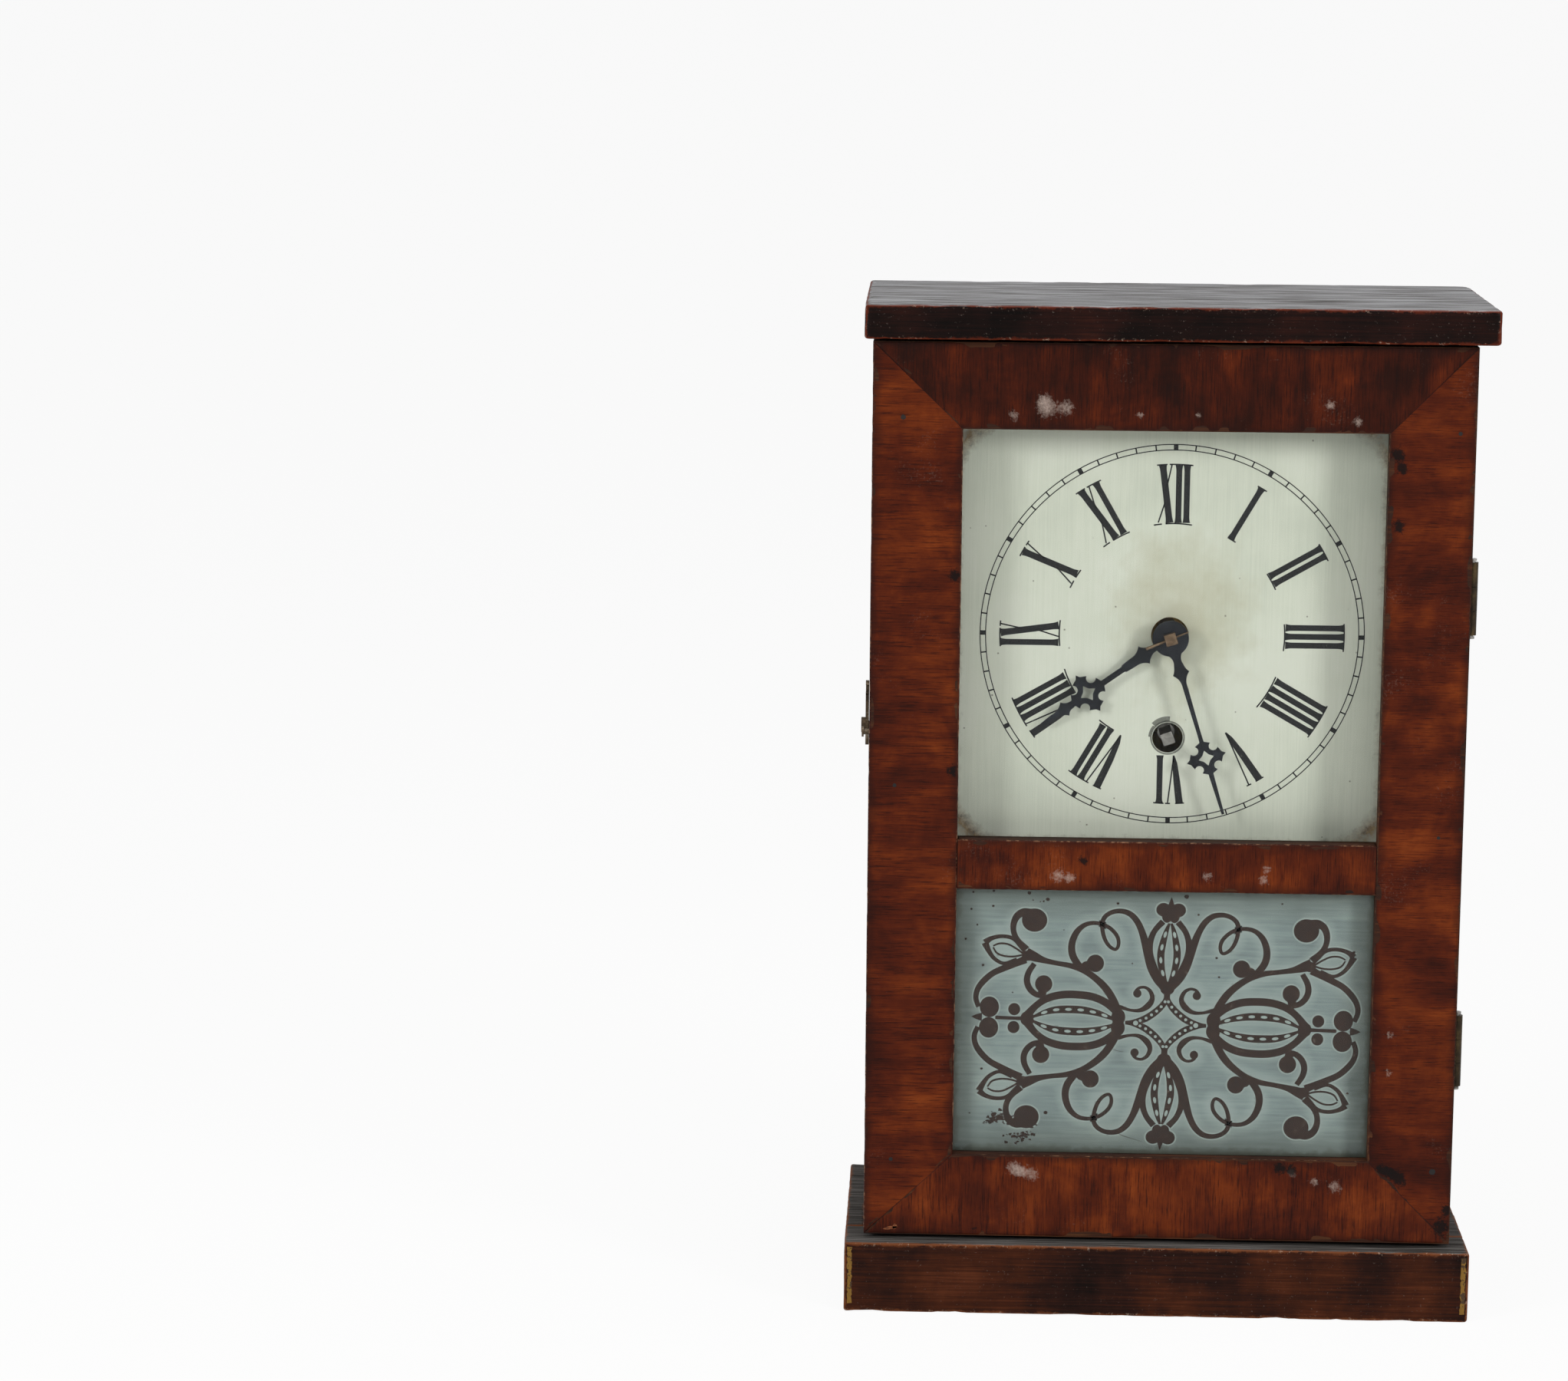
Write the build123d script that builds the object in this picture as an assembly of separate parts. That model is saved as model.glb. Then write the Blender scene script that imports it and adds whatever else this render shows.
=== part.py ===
from build123d import *
import math
import os

os.makedirs("parts", exist_ok=True)

# A flat-topped cottage clock: veneered case, one glazed door, spring movement with a pendulum.
# Millimetres. X runs to the right, Y away from the viewer, Z up.
# X = 0 is the middle of the door, Y = 0 the middle of the depth, Z = 0 the underside of the plinth.

# Case
height = 305.0
depth = 86.0
case_width = 176.5
plinth_overhang = 5.75
plinth_height = 21.6
cap_overhang = 4.15
cap_thickness = 10.3
cap_shift = 1.6
front_overhang = 5.0
side_thickness = 8.0
back_thickness = 7.0
bottom_thickness = 8.0

# Door
door_thickness = 12.5
door_gap_back = 0.6
door_gap_top = 0.9
door_gap_bottom = 1.5
left_stile_width = 26.6
right_stile_width = 25.2
top_rail_width = 25.6
bottom_rail_width = 25.1
middle_rail_width = 15.0
middle_rail_z = 137.7
glass_lip = 4.5
glass_thickness = 1.6
glass_rebate = 4.0
glass_clearance = 0.3
glass_strip_width = 3.4
glass_strip_depth = 3.0

# Hinges on the right side
hinge_heights = (80.0, 218.0)
hinge_length = 22.0
hinge_leaf_width = 7.0
hinge_leaf_thickness = 0.8
hinge_leaf_gap = 0.1
knuckle_radius = 1.7
knuckle_gap = 0.15
knuckle_stand_off = 1.6
hinge_pin_radius = 0.8
hinge_pin_clearance = 0.05
hinge_pin_proud = 0.4
hinge_pin_head = (1.2, 0.6)
hinge_screw_radius = 0.7
hinge_screw_head = 1.4
hinge_screw_length = 6.0
hinge_screw_hole_spare = 0.2

# Latch on the left side
latch_height = 176.5
latch_behind_edge = 4.4
latch_thickness = 1.0
latch_side_gap = 0.4
latch_boss_radius = 2.4
latch_head_radius = 2.3
latch_arm_half_width = 1.1
latch_tail = 5.0
latch_screw_radius = 1.2
latch_screw_clearance = 0.05
latch_screw_head = 2.3
latch_screw_head_thickness = 1.2
latch_screw_slot = (0.6, 0.5)
latch_screw_wood = 1.5
latch_pin_radius = 0.9
latch_pin_head = 1.6
latch_pin_head_thickness = 0.6
latch_pin_clearance = 0.3
latch_pin_depth = 6.0

# Dial and hands
arbor_x = 1.0
arbor_below_middle = 1.7
dial_setback = 16.5
dial_thickness = 0.6
dial_side_gap = 3.25
dial_below_opening = 6.2
dial_above_opening = 5.8
dial_centre_hole = 5.6
dial_winding_hole = 4.6
dial_strip_width = 9.0
dial_strip_depth = 12.0
dial_strip_margin = 4.0
tack_radius = 0.7
tack_head = 1.7
tack_head_thickness = 0.7
tack_length = 7.0
tack_inset = 3.0
hand_thickness = 0.5
hour_hand_gap = 2.6
minute_hand_gap = 5.4
hour_hand_angle = 234.4
minute_hand_angle = 162.4
minute_boss_radius = 5.4
hour_boss_radius = 4.6
hand_square = 3.4
hand_square_proud = 1.9
hand_shoulder = (2.1, 0.6)
hand_fit = 0.03
hand_pin_length = 13.6
hand_pin_thick = 0.5
hand_pin_thin = 0.2
hand_pin_tilt = 23.0
hand_pin_offset = 0.7
hand_pin_through = 0.42

# Movement plates and posts: plate windows are x, z and radius from the centre arbor
plate_setback = 38.2
plate_thickness = 1.4
plate_gap = 24.0
plate_half_width = 36.0
ear_half_width = 44.0
ear_half_height = 5.0
plate_low = -50.0
plate_high = 58.0
plate_corner = 4.0
plate_windows = ((19.0, -2.0, 9.0), (-25.0, 8.0, 6.0), (20.0, -28.0, 8.0), (-20.0, -28.0, 8.0))
pillar_x = 30.0
pillar_low = -44.0
pillar_high = 50.0
pillar_radius = 2.5
tenon_radius = 1.5
tenon_proud = 3.0
pillar_pin_radius = 0.5
pillar_pin_length = 7.0
screw_x = 40.0
screw_radius = 1.4
screw_head_radius = 2.8
screw_head_thickness = 1.8
screw_wood = 1.0
screw_slot = (0.7, 0.8)
screw_play = 0.1
batten_half_length = 56.0
batten_height = 14.0
fit = 0.02
running = 0.05
end_shake = 0.3

# Train: teeth and pitch radii
great_teeth, centre_pinion_pins = 64, 8
centre_teeth, third_pinion_pins = 66, 6
third_teeth, escape_pinion_pins = 66, 6
winding_drop = 31.0
third_distance = 21.6
escape_distance = 19.8
escape_offset = (12.0, 27.0)
escape_teeth = 36
escape_radius = 14.0
escape_tooth_depth = 1.7
escape_lean = 0.25
cannon_teeth, minute_wheel_teeth = 12, 36
minute_pinion_teeth, hour_wheel_teeth = 10, 40
motion_distance = 12.0
wheel_thickness = 1.2
great_thickness = 1.6
shroud_thickness = 0.8
centre_arbor_radius = 1.6
small_arbor_radius = 0.8
pivot_radius = 0.6
pivot_proud = 0.4
centre_pivot_radius = 0.8
winding_arbor_radius = 2.2
winding_pivot_radius = 1.6
winding_neck_radius = 2.6
winding_square = 3.6
winding_square_proud = 1.8
winding_square_length = 11.5
winding_square_turn = 20.0
hour_pipe_radius = 3.0
hour_pipe_nose_radius = 2.6
hour_pipe_nose_proud = 0.3
stud_radius = 1.2
stud_head_step = 0.7
stud_shoulder_step = 0.8
washer_radius = 3.2
washer_thickness = 0.45
shroud_rim = 0.45

# Crossings: radius of the hub, radius inside the rim, number of arms and their width
great_crossing = (18.5, 23.6, 5, 5.0)
centre_crossing = (6.0, 16.6, 4, 3.0)
third_crossing = (3.6, 15.2, 4, 2.6)
escape_crossing = (3.0, 10.6, 4, 2.0)

# Layers between the plates, in distance behind the front plate
spring_from = 1.5
ratchet_from = 14.6
click_from = 14.7
great_from = 16.6
centre_pinion_span = (14.8, 20.2)
third_pinion_span = (18.4, 23.2)
third_wheel_from = 3.0
escape_pinion_span = (1.0, 6.2)

# Layers ahead of the front plate, in distance from it
cannon_span = (1.2, 4.2)
minute_wheel_from = 1.6
minute_pinion_end = 6.4
minute_stud_shoulder, minute_stud_seat, minute_stud_end = 1.3, 6.6, 7.4
hour_wheel_from = 4.8
escape_wheel_from = 3.2
escape_collar_from = 2.2
escape_arbor_end = 5.0
verge_from = 2.1
saddle_span = (1.6, 8.0)
verge_stud_shoulder, verge_stud_seat, verge_stud_end = 1.5, 8.05, 8.6
crutch_forward = 7.4

# Tooth shapes, as shares of the circular pitch
tooth_addendum = 0.40
tooth_dedendum = 0.30
tooth_root_half = 0.345
tooth_tip_half = 0.085
pin_share = 0.185
leaf_addendum = 0.12
leaf_dedendum = 0.55
leaf_root_half = 0.17
leaf_tip_half = 0.12

# Mainspring, ratchet and click
spring_half_turns = 12
spring_inner_radius = 4.2
spring_outer_radius = 21.0
spring_thickness = 0.45
spring_width = 12.0
ratchet_teeth = 24
ratchet_radius = 9.0
ratchet_depth = 1.1
ratchet_thickness = 1.6
ratchet_play = 0.5
click_distance = 15.0
click_bearing = -62.0
click_sweep = 38.0
click_boss_radius = 2.2
click_play = 0.05
click_rivet_head = (1.7, 0.7)
click_nose_height = 2.4
click_relief = (1.6, -7.0)
click_pin_radius = 1.0
click_thickness = 1.4
click_lift = 0.25
click_spring_radius = 0.35
click_spring_foot = -52.0
click_spring_bends = ((5.5, -18.0), (2.9, 16.0), (-0.8, 18.6))

# Escapement and pendulum
verge_height = 47.0
suspension_height = 53.0
crutch_height = 14.0
pallet_radius = 15.6
pallet_bearing = 50.0
verge_thickness = 1.0
verge_width = 3.4
saddle_radius = 2.2
verge_stud_radius = 0.8
crutch_wire_radius = 0.6
fork_gap = 0.25
fork_length = 5.4
pendulum_forward = 10.4
rod_radius = 0.8
bob_drop = 163.0
bob_radius = 16.0
bob_thickness = 7.0
bob_edge = 1.6
bob_shoulder = (0.6, 0.7)
suspension_post_radius = 2.2
suspension_post_end = 1.2
suspension_slot = 1.3
suspension_slot_span = (-5.0, 1.6)
suspension_slot_play = 0.4
suspension_strip = (0.4, 2.6, 14.0)
suspension_strip_above = 1.0
rod_overlap = 1.5
rod_below_nut = 3.0
rating_nut_radius = 2.6
rating_nut_height = 2.0

# Places that follow from the sizes above
half_case = case_width / 2
half_plinth = half_case + plinth_overhang
half_cap = half_case + cap_overhang
front_y = -depth / 2
back_y = depth / 2
door_y = front_y + front_overhang
door_back_y = door_y + door_thickness
case_y = door_back_y + door_gap_back
inner_half = half_case - side_thickness
back_board_y = back_y - back_thickness
cap_z = height - cap_thickness
door_low = plinth_height + door_gap_bottom
door_high = cap_z - door_gap_top
open_left = -half_case + left_stile_width
open_right = half_case - right_stile_width
tablet_low = door_low + bottom_rail_width
tablet_high = middle_rail_z - middle_rail_width / 2
dial_low = middle_rail_z + middle_rail_width / 2
dial_high = door_high - top_rail_width
arbor_z = (dial_low + dial_high) / 2 - arbor_below_middle
dial_half_width = inner_half - dial_side_gap
dial_bottom = dial_low - dial_below_opening
dial_top = dial_high + dial_above_opening
glass_y = door_y + glass_lip
glass_back_y = glass_y + glass_thickness
dial_y = door_y + dial_setback
dial_back_y = dial_y + dial_thickness
plate_y = door_y + plate_setback
plate_inner_y = plate_y + plate_thickness
back_plate_y = plate_inner_y + plate_gap
back_plate_back_y = back_plate_y + plate_thickness
winding_z = arbor_z - winding_drop
hinge_axis_x = half_case + knuckle_stand_off
hinge_axis_y = door_back_y + door_gap_back / 2
latch_axis_y = case_y + latch_behind_edge
latch_reach = latch_axis_y - (door_y + door_thickness / 2)


def save(name, *pieces):
    """Write one node, which is one solid or a group of separate ones."""
    solids = [solid for piece in pieces for solid in piece.solids()]
    shape = solids[0] if len(solids) == 1 else Compound(solids)
    export_step(shape, f"parts/{name}.step")


def board(x, y, z):
    """A box between the low and high value of each axis."""
    size = [b - a for a, b in (x, y, z)]
    middle = [(a + b) / 2 for a, b in (x, y, z)]
    return Pos(*middle) * Box(*size)


def bar_x(x, y, z, radius):
    """A round bar along X, with x its two ends."""
    return Pos((x[0] + x[1]) / 2, y, z) * Rot(0, 90, 0) * Cylinder(radius, x[1] - x[0])


def bar_y(x, y, z, radius):
    """A round bar along Y, with y its two ends."""
    return Pos(x, (y[0] + y[1]) / 2, z) * Rot(90, 0, 0) * Cylinder(radius, y[1] - y[0])


def bar_z(x, y, z, radius):
    """A round bar along Z, with z its two ends."""
    return Pos(x, y, (z[0] + z[1]) / 2) * Cylinder(radius, z[1] - z[0])


def upright(sketch, y, x=0.0, z=0.0):
    """A flat shape, drawn with its own y upwards, made a plate between two values of Y."""
    plane = Plane((x, y[1], z), x_dir=(1, 0, 0), z_dir=(0, -1, 0))
    return extrude(plane * sketch, y[1] - y[0], dir=(0, -1, 0))


def polygon(points):
    """A flat face with straight sides."""
    return make_face(Polyline(*points, close=True))


def polar(radius, bearing):
    """A point at a bearing in degrees, clockwise from straight up as the viewer sees it."""
    angle = math.radians(bearing)
    return radius * math.sin(angle), radius * math.cos(angle)


def bearing_to(start, end):
    """The bearing of one point from another."""
    return math.degrees(math.atan2(end[0] - start[0], end[1] - start[1]))


def at_depth(front):
    """A distance ahead of the front plate, as Y."""
    return plate_y - front


def ahead(near, far):
    """A layer between two distances ahead of the front plate, as Y."""
    return plate_y - far, plate_y - near


def between(inside, thickness):
    """A layer that starts at a distance behind the front plate's inner face, as Y."""
    return plate_inner_y + inside, plate_inner_y + inside + thickness


# Gear outlines, drawn round their own centre
def straight_teeth(teeth, radius, first, root, tip):
    """Straight-sided teeth: root and tip are each a height over the pitch circle and a half width."""
    pitch = 2 * math.pi * radius / teeth
    corners = []
    for tooth in range(teeth):
        middle = first + tooth * 360 / teeth
        for (height_share, half_share), side in ((root, -1), (tip, -1), (tip, 1), (root, 1)):
            reach = radius + height_share * pitch
            corners.append(polar(reach, middle + side * math.degrees(half_share * pitch / reach)))
    return corners


def wheel_outline(teeth, radius, gap_bearing):
    """A wheel's teeth, wide at the root, with the middle of one gap at the bearing."""
    root, tip = (-tooth_dedendum, tooth_root_half), (tooth_addendum, tooth_tip_half)
    return straight_teeth(teeth, radius, gap_bearing + 180 / teeth, root, tip)


def leaf_outline(teeth, radius, leaf_bearing):
    """A small pinion's narrow leaves, with the middle of one leaf at the bearing."""
    root, tip = (-leaf_dedendum, leaf_root_half), (leaf_addendum, leaf_tip_half)
    return straight_teeth(teeth, radius, leaf_bearing, root, tip)


def saw_outline(teeth, tip, depth_of_tooth, start, lean):
    """Pointed teeth: a face that leans by part of a tooth, then a long back to the next root."""
    corners = []
    for tooth in range(teeth):
        bearing = start + tooth * 360 / teeth
        corners.append(polar(tip - depth_of_tooth, bearing))
        corners.append(polar(tip, bearing + lean * 360 / teeth))
    return corners


def crossed(outline, bore, hub=0.0, rim=0.0, arms=0, arm_width=0.0):
    """A wheel face with its bore, and windows between the hub and the rim."""
    face = polygon(outline) - Circle(bore)
    if arms:
        windows = Circle(rim) - Circle(hub)
        for arm in range(arms):
            windows -= Rot(0, 0, arm * 360 / arms) * Pos(rim / 2, 0) * Rectangle(rim + 1, arm_width)
        face -= windows
    return face


def lantern_pinion(x, z, y, pins, radius, pin_bearing, bore):
    """Two round shrouds with a ring of pins between them."""
    pin_radius = pin_share * 2 * math.pi * radius / pins
    disc = Circle(radius + pin_radius + shroud_rim)
    if bore:
        disc -= Circle(bore)
    body = upright(disc, (y[0], y[0] + shroud_thickness), x, z)
    body += upright(disc, (y[1] - shroud_thickness, y[1]), x, z)
    inset = shroud_thickness / 2
    for pin in range(pins):
        dx, dz = polar(radius, pin_bearing + pin * 360 / pins)
        body += bar_y(x + dx, (y[0] + inset, y[1] - inset), z + dz, pin_radius)
    return body


def pinion_radius(distance, wheel, pinion):
    """The pitch radius of the smaller wheel of a pair."""
    return distance * pinion / (wheel + pinion)


# Centres of the movement, as x and z: the third wheel lies where its two distances meet
centre = (arbor_x, arbor_z)
winding = (arbor_x, winding_z)
escape = (arbor_x + escape_offset[0], arbor_z + escape_offset[1])
span = math.hypot(*escape_offset)
along = (third_distance ** 2 - escape_distance ** 2 + span ** 2) / (2 * span)
aside = math.sqrt(third_distance ** 2 - along ** 2)
third = (
    arbor_x + (escape_offset[0] * along - escape_offset[1] * aside) / span,
    arbor_z + (escape_offset[1] * along + escape_offset[0] * aside) / span,
)
minute_stud = (arbor_x - motion_distance, arbor_z)
pendulum_x = escape[0]
verge_z = arbor_z + verge_height
suspension_z = arbor_z + suspension_height
crutch_z = arbor_z + crutch_height
pendulum_y = at_depth(pendulum_forward)
pillars = [(arbor_x + sx * pillar_x, arbor_z + dz) for sx in (-1, 1) for dz in (pillar_low, pillar_high)]
screws = [(arbor_x + sx * screw_x, arbor_z + dz) for sx in (-1, 1) for dz in (pillar_low, pillar_high)]

# Layers as Y
spring_layer = between(spring_from, spring_width)
ratchet_layer = between(ratchet_from, ratchet_thickness)
click_layer = between(click_from, click_thickness)
great_layer = between(great_from, great_thickness)
centre_pinion_layer = [plate_inner_y + inside for inside in centre_pinion_span]
centre_wheel_layer = (centre_pinion_layer[1], centre_pinion_layer[1] + wheel_thickness)
third_pinion_layer = [plate_inner_y + inside for inside in third_pinion_span]
third_wheel_layer = between(third_wheel_from, wheel_thickness)
escape_pinion_layer = [plate_inner_y + inside for inside in escape_pinion_span]
cannon_layer = ahead(*cannon_span)
minute_wheel_layer = ahead(minute_wheel_from, minute_wheel_from + wheel_thickness)
minute_pinion_layer = ahead(minute_wheel_from + wheel_thickness, minute_pinion_end)
hour_wheel_layer = ahead(hour_wheel_from, hour_wheel_from + wheel_thickness)
escape_wheel_layer = ahead(escape_wheel_from, escape_wheel_from + wheel_thickness)
verge_layer = ahead(verge_from, verge_from + verge_width)
crutch_y = at_depth(crutch_forward)

# Plinth, and the boards of the case
plinth = [board((-half_plinth, half_plinth), (front_y, case_y), (0, plinth_height))]
for s in (-1, 1):
    plinth.append(board(sorted((s * half_case, s * half_plinth)), (case_y, back_y), (0, plinth_height)))
save("plinth", *plinth)
bottom_z = (plinth_height - bottom_thickness, plinth_height)
save("bottom_board", board((-inner_half, inner_half), (case_y, back_board_y), bottom_z))
cap_x = (cap_shift - half_cap, cap_shift + half_cap)
save("cap", board(cap_x, (front_y, back_y), (cap_z, height)))
save("back_board", board((-inner_half, inner_half), (back_board_y, back_y), (0, cap_z)))


# Hinges
def leaf_band(side):
    """The Y band of one leaf: side is -1 for the door's leaf, 1 for the case's."""
    near = hinge_axis_y + side * hinge_leaf_gap / 2
    return tuple(sorted((near, near + side * hinge_leaf_thickness)))


def hinge_leaf(z, side, segments):
    """A leaf, and the knuckle segments it carries."""
    band = leaf_band(side)
    low, high = z - hinge_length / 2, z + hinge_length / 2
    leaf = board((half_case - hinge_leaf_width, hinge_axis_x), band, (low, high))
    step = hinge_length / 3
    for part in range(3):
        segment = (low + part * step + knuckle_gap / 2, low + (part + 1) * step - knuckle_gap / 2)
        if part in segments:
            leaf += bar_z(hinge_axis_x, hinge_axis_y, segment, knuckle_radius)
        else:
            # Room for the other leaf's knuckle
            reach = knuckle_radius + knuckle_gap
            room = (segment[0] - knuckle_gap, segment[1] + knuckle_gap)
            leaf -= bar_z(hinge_axis_x, hinge_axis_y, room, reach)
            leaf -= board((half_case + knuckle_gap, hinge_axis_x + reach), band, room)
    leaf -= bar_z(hinge_axis_x, hinge_axis_y, (low - 1, high + 1), hinge_pin_radius + hinge_pin_clearance)
    for screw_z in hinge_screw_heights(z):
        for radius, y in ((hinge_screw_head, band), (hinge_screw_radius, (band[0] - 1, band[1] + 1))):
            leaf -= bar_y(hinge_screw_x, y, screw_z, radius + fit)
    return leaf


def hinge_screw_heights(z):
    """Two screws in each leaf."""
    return (z - hinge_length / 3, z + hinge_length / 3)


def hinge_screw(z, side):
    """A flat-headed screw, flush in its leaf, that goes into the wood behind it."""
    band = leaf_band(side)
    tip = band[0] - hinge_screw_length if side < 0 else band[1] + hinge_screw_length
    shank = (tip, band[1]) if side < 0 else (band[0], tip)
    head = bar_y(hinge_screw_x, band, z, hinge_screw_head)
    return head + bar_y(hinge_screw_x, shank, z, hinge_screw_radius)


def hinge_recess(z, side):
    """What is cut from the wood for a leaf and its screws."""
    band = leaf_band(side)
    x = (half_case - hinge_leaf_width - fit, half_case + 1)
    cut = board(x, (band[0] - fit, band[1] + fit), (z - hinge_length / 2 - fit, z + hinge_length / 2 + fit))
    for screw_z in hinge_screw_heights(z):
        reach = hinge_screw_length + hinge_leaf_thickness + hinge_screw_hole_spare
        run = (hinge_axis_y - reach, hinge_axis_y) if side < 0 else (hinge_axis_y, hinge_axis_y + reach)
        cut += bar_y(hinge_screw_x, run, screw_z, hinge_screw_radius + fit)
    return cut


hinge_screw_x = half_case - hinge_leaf_width / 2
save("hinge_case_leaves", *[hinge_leaf(z, 1, (0, 2)) for z in hinge_heights])
save("hinge_door_leaves", *[hinge_leaf(z, -1, (1,)) for z in hinge_heights])
hinge_pins = []
head_radius, head_length = hinge_pin_head
for z in hinge_heights:
    half_pin = hinge_length / 2 + hinge_pin_proud
    pin = bar_z(hinge_axis_x, hinge_axis_y, (z - half_pin, z + half_pin), hinge_pin_radius)
    pin += bar_z(hinge_axis_x, hinge_axis_y, (z + half_pin, z + half_pin + head_length), head_radius)
    pin += bar_z(hinge_axis_x, hinge_axis_y, (z - half_pin - head_length, z - half_pin), head_radius)
    hinge_pins.append(pin)
save("hinge_pins", *hinge_pins)
for name, side in (("hinge_case_screws", 1), ("hinge_door_screws", -1)):
    save(name, *[hinge_screw(z, side) for h in hinge_heights for z in hinge_screw_heights(h)])

# Side boards, with the latch screw's hole on the left and the hinge recesses on the right
left_side = board((-half_case, -inner_half), (case_y, back_y), (0, cap_z))
latch_screw_tip = -inner_half - latch_screw_wood
left_side -= bar_x((-half_case - 1, latch_screw_tip), latch_axis_y, latch_height, latch_screw_radius + fit)
save("left_side", left_side)
right_side = board((inner_half, half_case), (case_y, back_y), (0, cap_z))
for z in hinge_heights:
    right_side -= hinge_recess(z, 1)
save("right_side", right_side)

# Door: a mitred frame, rebated behind for the glass, and a middle rail between the stiles
rebate_x = (open_left - glass_rebate, open_right + glass_rebate)
rebates = board(rebate_x, (glass_y, door_back_y + 1), (tablet_low - glass_rebate, tablet_high + glass_rebate))
rebates += board(rebate_x, (glass_y, door_back_y + 1), (dial_low - glass_rebate, dial_high + glass_rebate))
outer = [(-half_case, door_low), (half_case, door_low), (half_case, door_high), (-half_case, door_high)]
inner = [(open_left, tablet_low), (open_right, tablet_low), (open_right, dial_high), (open_left, dial_high)]
door_names = ("door_bottom_rail", "door_right_stile", "door_top_rail", "door_left_stile")
for index, name in enumerate(door_names):
    after = (index + 1) % 4
    corners = [outer[index], outer[after], inner[after], inner[index]]
    piece = upright(polygon(corners), (door_y, door_back_y)) - rebates
    if name == "door_right_stile":
        for z in hinge_heights:
            piece -= hinge_recess(z, -1)
    if name == "door_left_stile":
        latch_pin_x = (-half_case - 1, -half_case + latch_pin_depth)
        piece -= bar_x(latch_pin_x, latch_axis_y - latch_reach, latch_height, latch_pin_radius + fit)
    save(name, piece)
middle = board((open_left, open_right), (door_y, door_back_y), (tablet_high, dial_low))
save("door_middle_rail", middle - rebates)

# Glass, and the strips that hold it
glass_x = (rebate_x[0] + glass_clearance, rebate_x[1] - glass_clearance)


def glass_pane(low, high):
    """A pane that fills its rebate, less the clearance."""
    reach = glass_rebate - glass_clearance
    return board(glass_x, (glass_y, glass_back_y), (low - reach, high + reach))


def glass_strips(low, high):
    """Four mitred strips behind a pane."""
    y = (glass_back_y, glass_back_y + glass_strip_depth)
    edge = glass_rebate - fit
    a = [(open_left - edge, low - edge), (open_right + edge, low - edge)]
    a += [(open_right + edge, high + edge), (open_left - edge, high + edge)]
    w = glass_strip_width
    b = [(a[0][0] + w, a[0][1] + w), (a[1][0] - w, a[1][1] + w)]
    b += [(a[2][0] - w, a[2][1] - w), (a[3][0] + w, a[3][1] - w)]
    return [upright(polygon([a[i], a[i - 3], b[i - 3], b[i]]), y) for i in range(4)]


save("dial_glass", glass_pane(dial_low, dial_high))
save("tablet_glass", glass_pane(tablet_low, tablet_high))
save("glass_strips", *glass_strips(dial_low, dial_high), *glass_strips(tablet_low, tablet_high))

# Latch: a hook on the case side, drawn upright, and the pin it drops over in the door's edge
hook_x = (-half_case - latch_side_gap - latch_thickness, -half_case - latch_side_gap)
through_hook = (hook_x[0] - 1, hook_x[1] + 1)
eye_z = latch_height + latch_reach
hook = bar_x(hook_x, latch_axis_y, latch_height, latch_boss_radius)
hook += bar_x(hook_x, latch_axis_y, eye_z, latch_head_radius)
arm_y = (latch_axis_y - latch_arm_half_width, latch_axis_y + latch_arm_half_width)
hook += board(hook_x, arm_y, (latch_height - latch_tail, eye_z))
hook += bar_x(hook_x, latch_axis_y, latch_height - latch_tail, latch_arm_half_width)
slot = latch_pin_radius + latch_pin_clearance
hook -= bar_x(through_hook, latch_axis_y, eye_z, slot)
slot_y = (latch_axis_y - 2 * latch_head_radius, latch_axis_y)
hook -= board(through_hook, slot_y, (eye_z - slot, eye_z + slot))
hook -= bar_x(through_hook, latch_axis_y, latch_height, latch_screw_radius + latch_screw_clearance)
save("latch_hook", hook)
head_back = hook_x[0] - latch_screw_clearance
head_front = head_back - latch_screw_head_thickness
latch_screw = bar_x((head_back, latch_screw_tip), latch_axis_y, latch_height, latch_screw_radius)
latch_screw += bar_x((head_front, head_back), latch_axis_y, latch_height, latch_screw_head)
slot_width, slot_deep = latch_screw_slot
slot_y = (latch_axis_y - slot_width / 2, latch_axis_y + slot_width / 2)
slot_z = (latch_height - 2 * latch_screw_head, latch_height + 2 * latch_screw_head)
latch_screw -= board((head_front - 1, head_front + slot_deep), slot_y, slot_z)
save("latch_screw", latch_screw)
pin_end = hook_x[0] - latch_pin_clearance
latch_pin_y = latch_axis_y - latch_reach
latch_pin = bar_x((pin_end, -half_case + latch_pin_depth), latch_pin_y, latch_height, latch_pin_radius)
latch_pin += bar_x((pin_end - latch_pin_head_thickness, pin_end), latch_pin_y, latch_height, latch_pin_head)
save("latch_pin", latch_pin)

# Dial, on two upright strips glued to the sides
tack_heights = (dial_bottom + tack_inset, dial_top - tack_inset)
tacks = [(s * (dial_half_width - tack_inset), z) for s in (-1, 1) for z in tack_heights]
dial = board((-dial_half_width, dial_half_width), (dial_y, dial_back_y), (dial_bottom, dial_top))
dial -= bar_y(centre[0], (dial_y - 1, dial_back_y + 1), centre[1], dial_centre_hole)
dial -= bar_y(winding[0], (dial_y - 1, dial_back_y + 1), winding[1], dial_winding_hole)
strips = []
for s in (-1, 1):
    strip_x = sorted((s * inner_half, s * (inner_half - dial_strip_width)))
    strip_z = (dial_bottom - dial_strip_margin, dial_top + dial_strip_margin)
    strips.append(board(strip_x, (dial_back_y, dial_back_y + dial_strip_depth), strip_z))
dial_tacks = []
for x, z in tacks:
    shank = (dial_y, dial_y + tack_length)
    dial -= bar_y(x, (dial_y - 1, dial_back_y + 1), z, tack_radius + fit)
    strips = [strip - bar_y(x, shank, z, tack_radius + fit) for strip in strips]
    tack = bar_y(x, (dial_y - tack_head_thickness, dial_y), z, tack_head)
    dial_tacks.append(tack + bar_y(x, shank, z, tack_radius))
save("dial", dial)
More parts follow.
